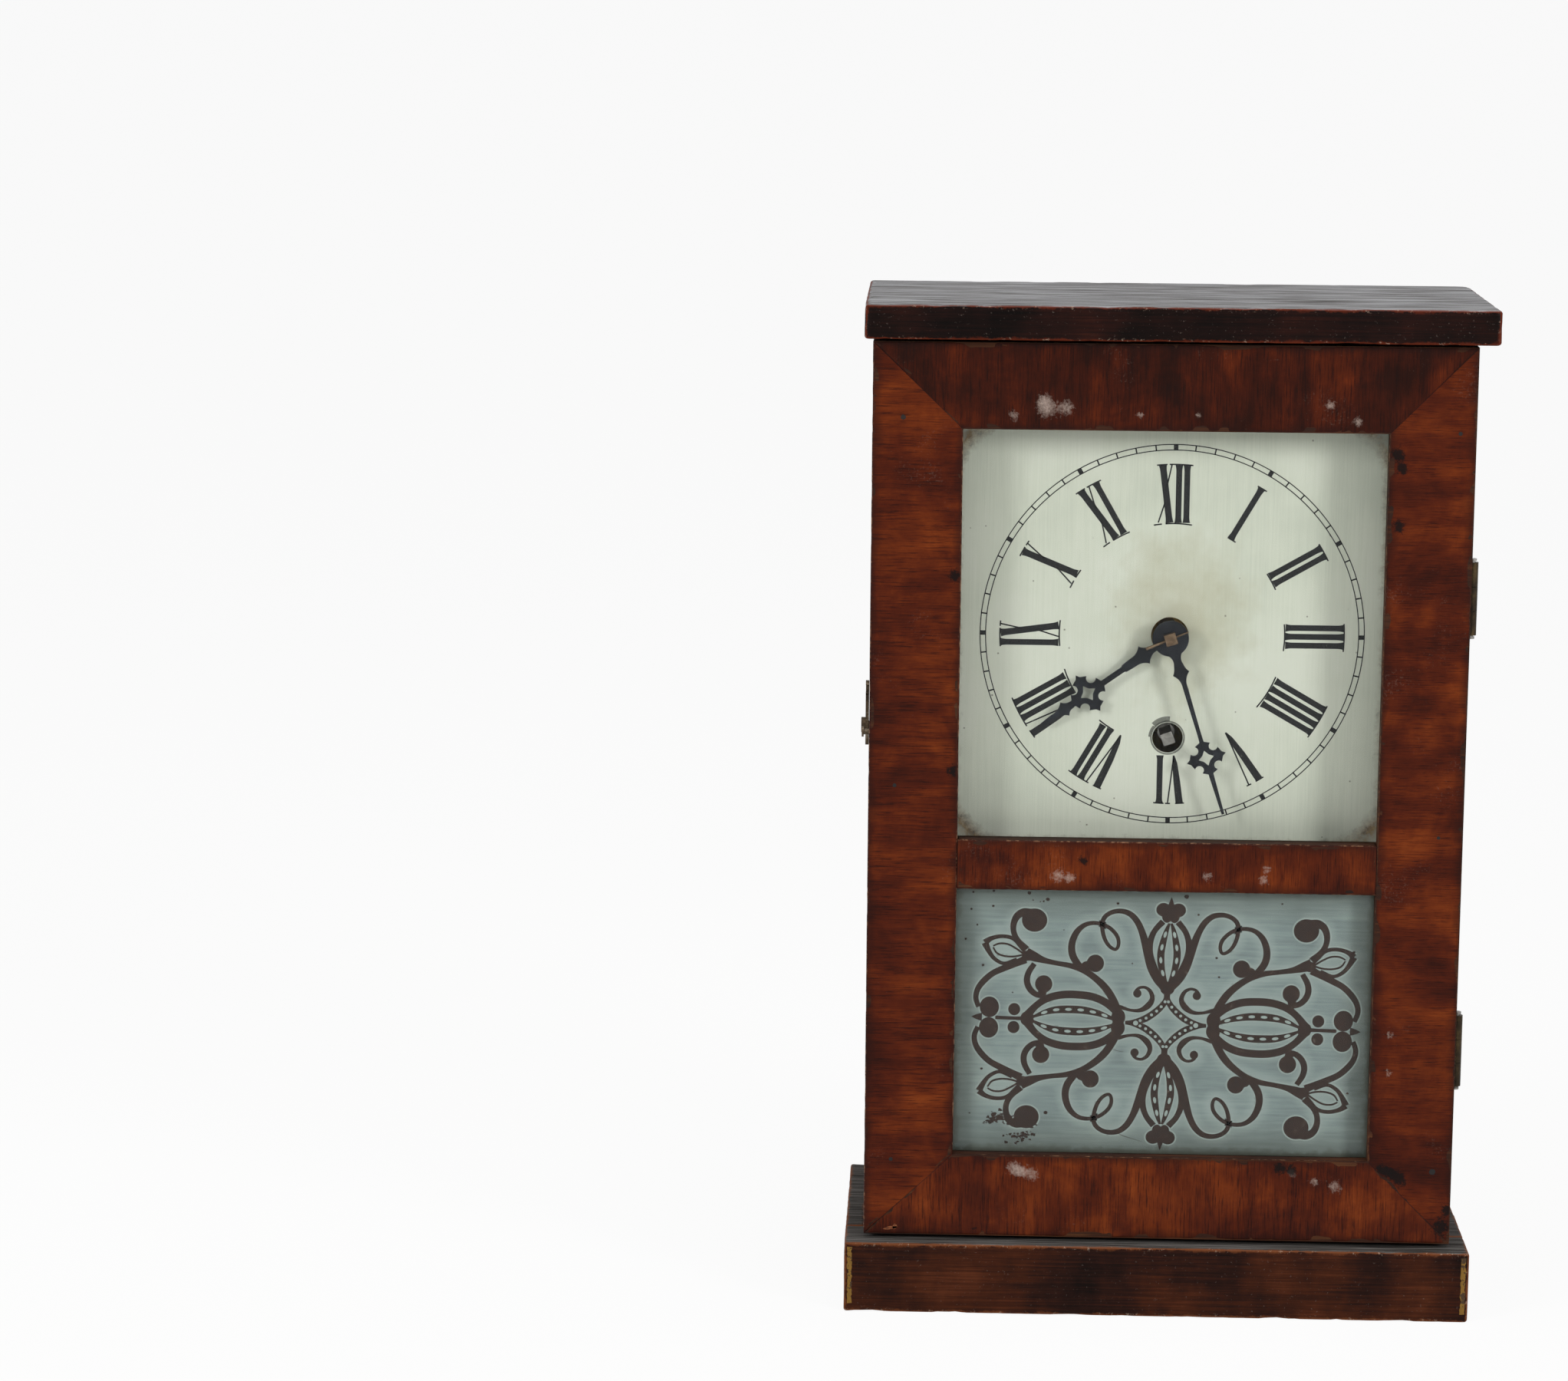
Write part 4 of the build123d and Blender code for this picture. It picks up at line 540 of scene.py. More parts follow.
def ground_glass():
    """The ground back face of the tablet: an even blue-grey bloom from fine grit, with faint slanting wipe marks
    0.9 mm wide and 20 mm long. It is paler beside the stencilled ornament, a painted halo of light, darker over a wide
    band at the rim, painted shade from the frame, and brown with ragged dirt at the rim itself."""
    material, tree, place = new_material("ground_glass_bloom")
    wipe_at = add(tree, "Mapping", {"Rotation": (0.0, math.radians(-28), 0.0), "Scale": (0.05, 1.0, 1.1),
                                    "Vector": place})
    wipes = add(tree, "TexNoise", {"Scale": 1.0, "Detail": 4.0, "Roughness": 0.6, "Vector": wipe_at})
    cloud = add(tree, "TexNoise", {"Scale": 0.035, "Detail": 4.0, "Roughness": 0.6, "Vector": place})
    tone = add(tree, "Mix", {"data_type": "FLOAT", "Factor": 0.4, "A": cloud, "B": wipes})
    bloom = add(tree, "ValToRGB", {"stops": [(0.36, "#7E8B8B"), (0.5, "#919F9F"), (0.64, "#A4B2B0")], "Fac": tone})
    near = add(tree, "Attribute", {"attribute_name": "near"})
    # Paler beside the ornament: a painted halo of light
    close = add(tree, "MapRange", {"span": (0.2, 2.6, 0.4, 0.0), "Value": near})
    pale = add(tree, "Mix", {"data_type": "RGBA", "Factor": close, "A": bloom, "B": "#BDC9C6"})
    rim = add(tree, "Attribute", {"attribute_name": "edge"})
    # A wide band darker towards the rim: painted shade from the door's frame
    wide = add(tree, "MapRange", {"span": (0.0, 13.0, 0.6, 0.0), "Value": rim})
    shaded = add(tree, "Mix", {"data_type": "RGBA", "Factor": wide, "A": pale, "B": "#6B7067"})
    ragged = add(tree, "TexNoise", {"Scale": 0.3, "Detail": 5.0, "Roughness": 0.7, "Vector": place})
    fray = add(tree, "Math", {"operation": "MULTIPLY_ADD", 0: ragged, 1: 8.0, 2: -1.8})
    dirt = add(tree, "MapRange", {"From Min": 0.0, "To Min": 0.7, "To Max": 0.0, "Value": rim, "From Max": fray})
    darkened_edge = add(tree, "Mix", {"data_type": "RGBA", "Factor": dirt, "A": shaded, "B": "#4F4A3A"})
    rough = add(tree, "MapRange", {"span": (0.35, 0.65, 0.5, 0.66), "Value": cloud})
    surface = add(tree, "BsdfPrincipled", {"IOR": 1.45, "Specular IOR Level": 0.3, "Base Color": darkened_edge,
                                           "Roughness": rough})
    add(tree, "OutputMaterial", {"Surface": surface})
    return material


# Tones from the darkest to the palest
PLINTH_FRONT = ["#100705", "#25110B", "#3C1C0E", "#532A17"]
CAP_FRONT = ["#090504", "#140907", "#210E0A", "#34170F"]
# The cap's top tones are pale partly from the weather and partly as painted sheen off the top
CAP_TOP_PAINTED_SHEEN = ["#2C2825", "#787675", "#A9A9AB", "#CFD0D3"]
PLINTH_TOP = ["#24211F", "#45423F", "#605D5A", "#7C7975"]
STILE_TONES = [["#200803", "#361005"], ["#4A1907", "#63280B", "#7F3B14"]]
# The top rail's tones are darker than the stiles': painted shade from the cap above it
TOP_TONES_PAINTED_SHADE = [["#150502", "#250A03"], ["#371105", "#501D08", "#783110"]]
LOW_TONES = [["#200803", "#371106"], ["#4E1C08", "#692C0D", "#863F17"]]

veneers = {
    "door_left_stile": mahogany("shellacked_mahogany_left", True, 1, *STILE_TONES),
    "door_right_stile": mahogany("shellacked_mahogany_right", True, 4, *STILE_TONES),
    "door_top_rail": mahogany("shellacked_mahogany_top_painted_shade", False, 7, *TOP_TONES_PAINTED_SHADE),
    "door_bottom_rail": mahogany("shellacked_mahogany_bottom", False, 9, *LOW_TONES),
    "door_middle_rail": mahogany("shellacked_mahogany_middle", False, 12, *LOW_TONES),
}
cap_wood = stained_board("stained_pine_cap", CAP_FRONT, CAP_TOP_PAINTED_SHEEN, "#6A2A16", 2)
plinth_wood = stained_board("stained_pine_plinth", PLINTH_FRONT, PLINTH_TOP, "#7A4526", 5)
UPRIGHT_GRAIN = (0.9, 0.9, 0.03)
LEVEL_GRAIN = (0.03, 0.9, 0.9)
side_wood = bare_wood("stained_pine_sides", UPRIGHT_GRAIN,
                      [(0.35, "#160907"), (0.48, "#2C130C"), (0.58, "#3F1D10"), (0.7, "#57301C")], 3)
core_wood = bare_wood("pine_door_core", LEVEL_GRAIN,
                      [(0.35, "#1B0E09"), (0.48, "#2E180E"), (0.58, "#432616"), (0.7, "#5B3820")], 6)
back_wood = bare_wood("sawn_pine_back", UPRIGHT_GRAIN,
                      [(0.33, "#432B19"), (0.46, "#614229"), (0.57, "#7B583A"), (0.7, "#94704D")], 8)
strip_wood = bare_wood("sawn_pine_strips", LEVEL_GRAIN,
                       [(0.33, "#3A2819"), (0.46, "#563C26"), (0.57, "#6E5136"), (0.7, "#86684A")], 10)
brass = worked_metal("rolled_clock_brass", 1.0, [(0.34, "#6E5527"), (0.5, "#A8853F"), (0.64, "#C7A65A")],
                     0.24, 0.48, (2.5, 2.5, 0.1), 1)
plate_brass = worked_metal("tarnished_plate_brass", 1.0, [(0.34, "#2A2110"), (0.5, "#4A3A1C"), (0.64, "#6E5930")],
                           0.35, 0.6, (2.5, 2.5, 0.1), 7)
steel = worked_metal("turned_steel", 1.0, [(0.34, "#5C5852"), (0.5, "#8A8783"), (0.66, "#A9A6A0")],
                     0.28, 0.5, (0.6, 3.0, 0.6), 2)
arbor_steel = worked_metal("old_arbor_steel", 0.85, [(0.34, "#4A3A2A"), (0.5, "#7A6450"), (0.66, "#A08C74")],
                           0.35, 0.55, (1.2, 1.2, 1.2), 3)
blued = worked_metal("blued_hand_steel", 0.7, [(0.34, "#101116"), (0.5, "#1B1D23"), (0.68, "#33363E")],
                     0.32, 0.5, (1.6, 1.6, 1.6), 4)
iron = worked_metal("wrought_iron", 0.9, [(0.34, "#332A22"), (0.5, "#5A4C3C"), (0.66, "#8B7F70")],
                    0.4, 0.62, (1.2, 1.2, 1.2), 5)
dial_finish = dial_paint()
ink = flat_ink("transfer_black", ["#0E0F12", "#17181B"], "#A9AA9B", 1.1, 0.7, 0.5)
grey_metal = flat_ink("bared_zinc", ["#6E6F68", "#8A8B82"], "#A8A99C", 0.8, 0.6, 0.5)
pane = window_glass()
bloom = ground_glass()
# The ornament's dark film is painted shade: the dark inside of the case as seen through the clear-cut ornament. The
# same film draws the dirt behind the tablet
shade_and_dirt_film = flat_ink("ornament_shade_and_dirt", ["#281914", "#37241D"], "#64564F", 0.55, 0.66, 0.45)
bead_bloom = flat_ink("ground_beads", ["#A6B3B0", "#B5C2BE"], "#C5D0CC", 0.6, 0.66, 0.55)
# Pale rims round the ornament's strokes and balls: a painted halo of light
painted_halo = flat_ink("painted_light_halo", ["#A3B0AE", "#B0BDB9"], "#919E9B", 0.5, 0.62, 0.55)
hinge_brass = worked_metal("blackened_hinge_brass", 0.8, [(0.34, "#17110A"), (0.5, "#2C2214"), (0.66, "#4A3B22")],
                           0.4, 0.6, (1.2, 1.2, 0.3), 6)
soot = flat_ink("burnt_black_mark", ["#080606", "#120B09"], "#2A1A14", 0.9, 0.62, 0.6)
ochre = flat_ink("ochre_size_strip", ["#6B4E18", "#7E5C1C"], "#3A2812", 0.5, 0.52, 0.55)

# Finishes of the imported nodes
FINISHES = [
    (side_wood, "left_side right_side"),
    (core_wood, "door_left_stile door_right_stile door_top_rail door_bottom_rail door_middle_rail glass_strips"),
    (back_wood, "back_board bottom_board"),
    (strip_wood, "dial_strips movement_battens"),
    (hinge_brass, "hinge_case_leaves hinge_door_leaves"),
    (plate_brass, "front_plate back_plate"),
    (brass, "great_wheel centre_wheel third_wheel escape_wheel minute_wheel hour_wheel cannon_pinion ratchet_wheel "
            "tension_washer pendulum_bob rating_nut click"),
    (steel, "hinge_pins pillars pillar_pins mainspring plate_studs suspension_post centre_pinion third_arbor "
            "escape_arbor click_rivet click_spring verge crutch suspension_spring pendulum_rod winding_arbor"),
    (arbor_steel, "centre_arbor hand_pin"),
    (blued, "minute_hand hour_hand"),
    (iron, "hinge_case_screws hinge_door_screws latch_hook latch_screw latch_pin dial_tacks movement_screws"),
    (dial_finish, "dial"),
    (pane, "dial_glass tablet_glass"),
    (cap_wood, "cap"),
    (plinth_wood, "plinth"),
]
for finish, names in FINISHES:
    for node_name in names.split():
        node_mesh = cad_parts[node_name].data
        node_mesh.materials.clear()
        node_mesh.materials.append(finish)

SAWN_BOARDS = ("left_side right_side back_board bottom_board dial_strips movement_battens door_left_stile "
               "door_right_stile door_top_rail door_bottom_rail door_middle_rail")
for node_name in SAWN_BOARDS.split():
    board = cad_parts[node_name]
    weld = board.modifiers.new("merge", "WELD")
    weld.merge_threshold = 0.00001
    flatten = board.modifiers.new("flat_faces", "DECIMATE")
    flatten.decimate_type = "DISSOLVE"
    flatten.angle_limit = math.radians(1)
    ease = board.modifiers.new("eased_arris", "BEVEL")
    ease.width = CORE_CHAMFER * MM
    ease.segments = 1
    ease.limit_method = "ANGLE"
    ease.angle_limit = math.radians(40)

# Splashes of old paint and burnt spots as (x, z, spread) in millimetres on the door's front
SCUFFS = [(-38.0, 277.0, 1.5), (-37.5, 274.2, 2.2), (-31.5, 274.8, 1.9), (-46.8, 272.4, 1.3), (-10.0, 273.0, 0.9),
          (7.0, 273.2, 0.8), (45.5, 276.3, 1.3), (53.5, 271.7, 1.3), (-31.5, 134.6, 1.8), (-27.5, 134.2, 1.2),
          (13.0, 135.3, 1.3), (29.7, 134.2, 1.3), (30.5, 137.5, 1.0), (-43.3, 44.4, 1.8), (-37.6, 42.6, 1.7),
          (-41.0, 43.4, 1.2), (47.2, 41.6, 1.2), (53.3, 40.3, 1.7), (68.7, 87.5, 1.0), (68.4, 76.0, 0.8),
          (40.5, 44.6, 1.2)]
BURNS = [(72.6, 43.0, 1.7), (69.5, 45.3, 1.3), (66.8, 46.0, 1.0), (65.6, 262.0, 1.5), (66.9, 258.0, 1.2),
         (66.5, 241.0, 1.3), (85.5, 28.3, 1.9), (87.0, 33.5, 1.2), (36.8, 45.9, 1.4), (40.6, 45.2, 1.1),
         (-63.5, 224.5, 1.3), (-63.6, 166.0, 1.2), (-24.0, 139.4, 1.0)]


def soft_spots(flat, spots):
    """How far each place lies inside soft round spots: each fades from 1 as a bell curve of its spread."""
    total = np.zeros(len(flat))
    for x, z, spread in spots:
        total += np.exp(-((flat[:, 0] - x) ** 2 + (flat[:, 1] - z) ** 2) / (2 * spread ** 2))
    return np.clip(total, 0, 1.2)


def veneer_sheet(node, along, outer, mitres):
    """A veneer sheet on a packed door member: a worn thin board whose ends are slid along to the mitre lines. along
    is the axis of its length; outer is its outer side's place on the other axis, and mitres are how far each end
    draws in over its width, in proportion to the distance from the outer side."""
    low, high = box_mm(node)
    across = 0 if along == 2 else 2
    low[across] -= VENEER_PROUD
    high[across] += VENEER_PROUD
    low[1] -= VENEER_PROUD
    high[1] = low[1] + VENEER_THICK
    rounding = np.full(3, VENEER_ROUND)
    rounding[along] = JOINT_ROUND
    points, faces = worn_board(low, high, rounding, VENEER_STEP, VENEER_WEAR, len(node) * 7 + along)[0]
    inner_share = np.abs(points[:, across] - outer) / (high[across] - low[across])
    length = high[along] - low[along]
    from_low = points[:, along] - low[along]
    first = inner_share * mitres[0]
    last = length - inner_share * mitres[1]
    joint = np.minimum(from_low, length - from_low)
    points[:, along] = low[along] + first + from_low / length * (last - first)
    rim = np.minimum(points[:, across] - low[across], high[across] - points[:, across])
    flat = points[:, [0, 2]]
    marks = {"edge": rim, "joint": joint, "scuff": soft_spots(flat, SCUFFS), "burn": soft_spots(flat, BURNS)}
    make_piece(node.replace("door", "veneer"), (points, faces), veneers[node], "door", marks, smooth=True)


left_low, left_high = box_mm("door_left_stile")
right_low, right_high = box_mm("door_right_stile")
top_low, top_high = box_mm("door_top_rail")
bottom_low, bottom_high = box_mm("door_bottom_rail")
stile_mitres = (bottom_high[2] - bottom_low[2], top_high[2] - top_low[2])
rail_mitres = (left_high[0] - left_low[0], right_high[0] - right_low[0])
veneer_sheet("door_left_stile", 2, left_low[0], stile_mitres)
veneer_sheet("door_right_stile", 2, right_high[0], stile_mitres)
veneer_sheet("door_top_rail", 0, top_high[2], rail_mitres)
veneer_sheet("door_bottom_rail", 0, bottom_low[2], rail_mitres)
veneer_sheet("door_middle_rail", 0, bottom_low[2], (0.0, 0.0))

# Cap and plinth as worn boards


def worn_case_piece(node, boards, rounding, wear, finish):
    """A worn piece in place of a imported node, from its boards as (seed, lowest corner, highest corner)."""
    made = [worn_board(np.array(low), np.array(high), rounding, BOARD_STEP, wear, seed) for seed, low, high in boards]
    marks = {"edge": np.concatenate([edge for shape, edge, up in made]),
             "up": np.concatenate([up for shape, edge, up in made])}
    piece = make_piece("worn_" + node, joined([shape for shape, edge, up in made]), finish, "case", marks,
                       smooth=True)
    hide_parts(node)


worn_case_piece("cap", [(41, *box_mm("cap"))], CAP_ROUND, CAP_WEAR, cap_wood)
plinth_low, plinth_high = box_mm("plinth")
side_left, case_front = box_mm("left_side")[0][:2]
low_z, high_z = plinth_low[2], plinth_high[2]
worn_case_piece("plinth", [
    (51, (plinth_low[0], plinth_low[1], low_z), (plinth_high[0], case_front, high_z)),
    (54, (plinth_low[0], case_front, low_z), (side_left, plinth_high[1], high_z)),
    (57, (-side_left, case_front, low_z), (plinth_high[0], plinth_high[1], high_z)),
], PLINTH_ROUND, PLINTH_WEAR, plinth_wood)

# Dial printing
print_front = box_mm("dial")[0][1] - PRINT_PROUD


def on_dial(side, radius, bearing):
    """A place on the dial from its distance to the right of a spoke, and its distance out along the spoke."""
    s, c = math.sin(bearing), math.cos(bearing)
    side = np.asarray(side, dtype=float)
    radius = np.asarray(radius, dtype=float)
    return np.stack([RING_CENTRE[0] + radius * s + side * c, RING_CENTRE[1] + radius * c - side * s], axis=-1)


def printed(spots, widths):
    """A printed line through places on the dial, of one width or of one for each place."""
    return strip(np.column_stack([spots, np.broadcast_to(widths, len(spots))]), print_front, PRINT_THICK)


def stroke(bearing, start, end, width, flare=0.0):
    """A straight stroke from start to end, both (side, radius), that may flare at both ends."""
    share = np.array([0.0, 0.035, 0.09, 0.5, 0.91, 0.965, 1.0])
    spread = np.array([1.0, 0.45, 0.0, 0.0, 0.0, 0.45, 1.0]) * flare
    side = start[0] + share * (end[0] - start[0])
    radius = start[1] + share * (end[1] - start[1])
    return printed(on_dial(side, radius, bearing), width + spread)


def serif(bearing, first, last, radius):
    """A hairline across the ends of the strokes, bowed with the ring."""
    side = np.linspace(first, last, 7)
    bowed = np.sqrt(radius ** 2 - side ** 2)
    return printed(on_dial(side, bowed, bearing), HAIR_STROKE)


def numeral(bearing, letters, low, high):
    """The strokes of one Roman numeral, with the outline of X and V in millimetres from the letter's own middle.
    letters are (letter, place to the right of the spoke)."""
    shapes = []
    top = high - HAIR_STROKE / 2
    foot = low + HAIR_STROKE / 2
    for letter, at in letters:
        if letter == "I":
            shapes.append(stroke(bearing, (at, foot), (at, top), THICK_STROKE, NUMERAL_FLARE))
        elif letter == "X":
            shapes.append(stroke(bearing, (at + 1.15, foot), (at - 1.2, top), THICK_STROKE + 0.2, 0.5))
            middle = (foot + top) / 2
            shapes.append(stroke(bearing, (at + 0.15, middle + 2.2), (at + 1.5, top), HAIR_STROKE))
            shapes.append(stroke(bearing, (at - 2.2, foot), (at - 0.2, middle - 2.2), HAIR_STROKE))
            shapes.append(serif(bearing, at - 3.5, at - 1.1, low))
            shapes.append(serif(bearing, at + 0.8, at + 2.4, high))
        else:
            path = on_dial([at + 0.25, at - 0.15, at - 0.9, at - 1.75], [foot, foot + 2.4, foot + 8, top], bearing)
            shapes.append(printed(path, [0.5, 1.5, 2.0, 2.2]))
            shapes.append(stroke(bearing, (at + 0.2, foot + 0.4), (at + 1.75, top), HAIR_STROKE))
            shapes.append(serif(bearing, at + 1.0, at + 2.5, high))
            shapes.append(serif(bearing, at - 3.2, at - 0.5, high))
    lines = [at for letter, at in letters if letter == "I"]
    crosses = [at for letter, at in letters if letter == "X"]
    vees = [at for letter, at in letters if letter == "V"]
    right = lines + [at + 1.0 for at in crosses]
    if lines:
        shapes.append(serif(bearing, min(lines) - SERIF_REACH * 0.8, max(lines) + SERIF_REACH, high))
    if crosses:
        shapes.append(serif(bearing, min(crosses) - 1.2 - SERIF_REACH, min(crosses) + 0.2, high))
    if right and low > NUMERAL_LOW - 1 and not (vees and low > NUMERAL_LOW + 1):
        shapes.append(serif(bearing, min(right) - SERIF_REACH * 0.6, max(right) + SERIF_REACH, low))
    return shapes


NUMERALS = {
    1: [("I", 0.0)],
    2: [("I", -1.35), ("I", 1.35)],
    3: [("I", -2.65), ("I", 0.0), ("I", 2.65)],
    4: [("I", -3.95), ("I", -1.3), ("I", 1.35), ("I", 4.0)],
    5: [("V", 0.0)],
    6: [("V", -1.6), ("I", 2.7)],
    7: [("V", -2.9), ("I", 0.9), ("I", 3.5)],
    8: [("V", -4.1), ("I", -0.3), ("I", 2.3), ("I", 4.9)],
    9: [("I", -2.7), ("X", 1.3)],
    10: [("X", 0.2)],
    11: [("X", -1.5), ("I", 2.3)],
    12: [("X", -2.6), ("I", 1.1), ("I", 3.5)],
}
# The winding hole was cut through the foot of the VI
SIX_LOW = 36.4
MINUTE_STEP = 6
HOUR_STEP = 30


def ring_path(centre, radius, width, first=0.0, last=360.0, steps=180):
    """An arc of a strip, from and to bearings clockwise from the top."""
    bearing = np.radians(np.linspace(first, last, steps, endpoint=last - first < 360))
    spots = np.stack([centre[0] + radius * np.sin(bearing), centre[1] + radius * np.cos(bearing)], axis=1)
    return np.column_stack([spots, np.full(len(spots), width)])


dial_shapes = []
for radius in (RING_OUTER - RING_LINE / 2, RING_INNER):
    dial_shapes.append(strip(ring_path(RING_CENTRE, radius, RING_LINE), print_front, PRINT_THICK, closed=True))
for minute in range(60):
    bearing = math.radians(minute * MINUTE_STEP)
    width = BLOCK_WIDTH if minute % 5 == 0 else TICK_WIDTH
    ends = on_dial([0.0, 0.0], [RING_INNER, RING_OUTER - 0.1], bearing)
    dial_shapes.append(printed(ends, width))
for hour, letters in NUMERALS.items():
    low = SIX_LOW if hour == 6 else NUMERAL_LOW
    dial_shapes += numeral(math.radians(hour * HOUR_STEP), letters, low, NUMERAL_HIGH)
make_piece("dial_print", joined(dial_shapes), ink, "case")

# Paint worn off round the winding hole: radius, width, bearings of both ends and steps of each arc
HOLE_WEAR = [(4.95, 0.5, 0, 360, 60), (5.75, 1.5, -48, 6, 16), (5.4, 0.7, -88, -50, 10)]
hole_wear = [strip(ring_path(WINDING_HOLE, radius, width, first, last, steps), print_front + WEAR_BEHIND, WEAR_THICK,
                   closed=last - first == 360) for radius, width, first, last, steps in HOLE_WEAR]
make_piece("winding_hole_wear", joined(hole_wear), grey_metal, "case")

# Ornament of the tablet. Each row of a path is (right, up, width), read on its upper left quarter

VOLUTE = [(-13.9, 4.7, 1.3), (-10.6, 3.8, 0.9), (-7.7, 3.9, 1.3), (-5.4, 5.4, 1.9), (-4.3, 7.5, 1.5),
          (-5.0, 9.7, 1.2), (-6.6, 10.8, 0.9), (-8.3, 10.6, 0.9), (-9.2, 9.7, 1.0)]
STEM = [(-13.9, 2.6, 2.1), (-15.6, 6.2, 2.3), (-17.9, 9.7, 2.3), (-20.8, 12.5, 2.1), (-24.3, 14.8, 1.9),
        (-28.5, 16.3, 1.7), (-33.1, 17.0, 1.5), (-36.8, 17.7, 1.9), (-39.8, 18.7, 3.0), (-42.2, 19.7, 3.4)]
LOOP = [(-26.0, 15.9, 2.1), (-28.3, 19.3, 2.2), (-28.8, 22.7, 2.1), (-27.7, 26.2, 1.9), (-25.6, 28.5, 1.5),
        (-23.1, 29.4, 1.3), (-20.2, 29.2, 1.2), (-17.5, 27.9, 1.2), (-15.5, 25.7, 1.2), (-15.0, 23.4, 1.1),
        (-15.8, 21.8, 1.0), (-17.7, 22.7, 1.1), (-19.2, 24.9, 1.2), (-20.0, 27.9, 1.3), (-19.8, 30.7, 1.4),
        (-18.1, 32.5, 1.4), (-15.4, 33.3, 1.5), (-12.5, 32.8, 1.7), (-10.2, 30.9, 1.9), (-8.5, 27.9, 2.0),
        (-7.3, 24.5, 2.3), (-6.2, 20.6, 2.5), (-5.1, 16.7, 2.3), (-3.3, 13.3, 2.1), (-1.4, 11.2, 2.1)]
OUTER_ARC = [(-42.2, 17.8, 2.5), (-45.2, 16.4, 2.1), (-48.5, 14.9, 2.0), (-51.8, 13.2, 1.9), (-54.5, 10.7, 1.9),
             (-56.1, 8.2, 1.7), (-56.5, 5.6, 1.6), (-55.6, 3.0, 1.5)]
LEAF_ABOVE = [(-43.1, 20.6, 1.1), (-46.0, 23.7, 1.2), (-49.3, 24.4, 1.2), (-52.5, 23.7, 1.4), (-54.5, 22.3, 2.1)]
LEAF_BELOW = [(-54.5, 22.3, 2.1), (-52.9, 19.3, 1.4), (-51.2, 17.4, 1.2), (-48.5, 16.3, 1.1), (-44.8, 17.6, 1.3)]
VEIN_ABOVE = [(-52.0, 21.4, 0.5), (-50.2, 22.2, 0.6), (-47.7, 22.1, 0.6), (-45.2, 20.9, 0.6), (-43.1, 19.5, 0.6)]
VEIN_BELOW = [(-52.0, 21.0, 0.5), (-50.8, 19.3, 0.6), (-48.5, 18.5, 0.6), (-45.6, 18.5, 0.6), (-43.1, 19.1, 0.6)]
CORNER_SCROLL = [(-42.2, 20.6, 2.5), (-44.8, 23.2, 1.9), (-46.1, 25.8, 1.7), (-46.2, 28.4, 1.9), (-45.2, 30.7, 2.2),
                 (-43.2, 31.9, 2.4), (-41.0, 32.3, 1.2)]
SIDE_SCROLL = [(-39.6, 16.6, 1.6), (-41.2, 13.9, 1.8), (-41.6, 11.4, 1.9), (-40.8, 9.2, 1.9), (-39.1, 7.6, 1.8),
               (-37.0, 7.0, 1.7)]
SIDE_POD = [(-13.9, 2.6, 2.5), (-17.7, 5.6, 2.4), (-21.8, 7.3, 2.4), (-26.4, 7.8, 2.4), (-31.0, 7.6, 2.4),
            (-35.2, 6.4, 2.3), (-38.5, 4.1, 2.1), (-41.0, 1.2, 2.5)]
SIDE_RIB = [(-15.0, 0.7, 0.8), (-17.4, 1.6, 1.4), (-20.2, 2.5, 1.9), (-24.3, 3.2, 2.3), (-28.5, 3.3, 2.4),
            (-32.7, 3.0, 2.2), (-36.0, 2.1, 1.6), (-39.2, 0.7, 0.8)]
END_POD = [(0.0, 11.2, 2.5), (-2.4, 13.7, 1.9), (-4.3, 17.2, 1.9), (-5.6, 21.0, 1.9), (-5.7, 24.5, 1.9),
           (-4.5, 27.9, 1.7), (-2.2, 30.7, 1.9)]
END_RIB = [(-0.3, 12.0, 0.8), (-1.5, 15.0, 1.6), (-2.2, 18.0, 2.1), (-2.4, 21.2, 2.2), (-1.9, 24.5, 2.0),
           (-1.1, 27.9, 1.4), (-0.3, 30.2, 0.7)]
STAR_SIDE = [(-12.0, 0.0, 1.1), (-9.8, 0.15, 1.6), (-6.4, 1.3, 2.1), (-3.5, 3.3, 2.1), (-1.4, 5.4, 1.9),
             (-0.2, 7.4, 1.7), (0.0, 9.0, 1.9)]
SIDE_NECK = [(-41.0, 1.0, 1.6), (-44.0, 1.0, 1.1), (-50.5, 1.0, 1.1)]
SIDE_TIP = [(-54.5, 0.0, 2.6), (-56.2, 0.0, 1.5), (-57.6, 0.0, 0.1)]
END_TIP = [(0.0, 33.5, 3.0), (0.0, 36.0, 1.6), (0.0, 38.0, 0.1)]
QUARTER_PATHS = [VOLUTE, STEM, LOOP, OUTER_ARC, LEAF_ABOVE, LEAF_BELOW, VEIN_ABOVE, VEIN_BELOW, CORNER_SCROLL,
                 SIDE_SCROLL, SIDE_POD, SIDE_RIB, END_POD, END_RIB, STAR_SIDE]
# Balls and knots: middle and radii
QUARTER_BALLS = [((-8.8, 8.9), (1.25, 1.3)), ((-21.6, 17.4), (2.6, 2.7)), ((-40.1, 29.6), (3.8, 3.6)),
                 ((-36.6, 10.6), (2.6, 2.7)), ((-45.0, 2.7), (1.8, 1.9)), ((-52.4, 3.1), (2.9, 3.2)),
                 ((-2.2, 34.2), (2.2, 2.1)), ((-1.1, 32.2), (1.5, 1.9)), ((-14.1, 1.6), (2.1, 2.6)),
                 ((-41.0, 0.6), (2.0, 1.6)), ((-36.9, 8.2), (1.3, 1.6)), ((-24.2, 16.4), (1.6, 1.6)),
                 ((-41.6, 18.9), (1.9, 1.6)), ((-0.5, 10.6), (1.6, 1.7))]
# Beads: distance apart, radii, and how far from the rib's ends they stop
BEAD_STEP = 3.25
BEAD_SIZE = (1.0, 0.45)
BEAD_ENDS = (1.6, 1.6)
STAR_BEAD_STEP = 1.65
STAR_BEAD_SIZE = (0.45, 0.45)
STAR_BEAD_ENDS = (3.6, 1.4)
STAR_PEARL = (0.75, 0.75)


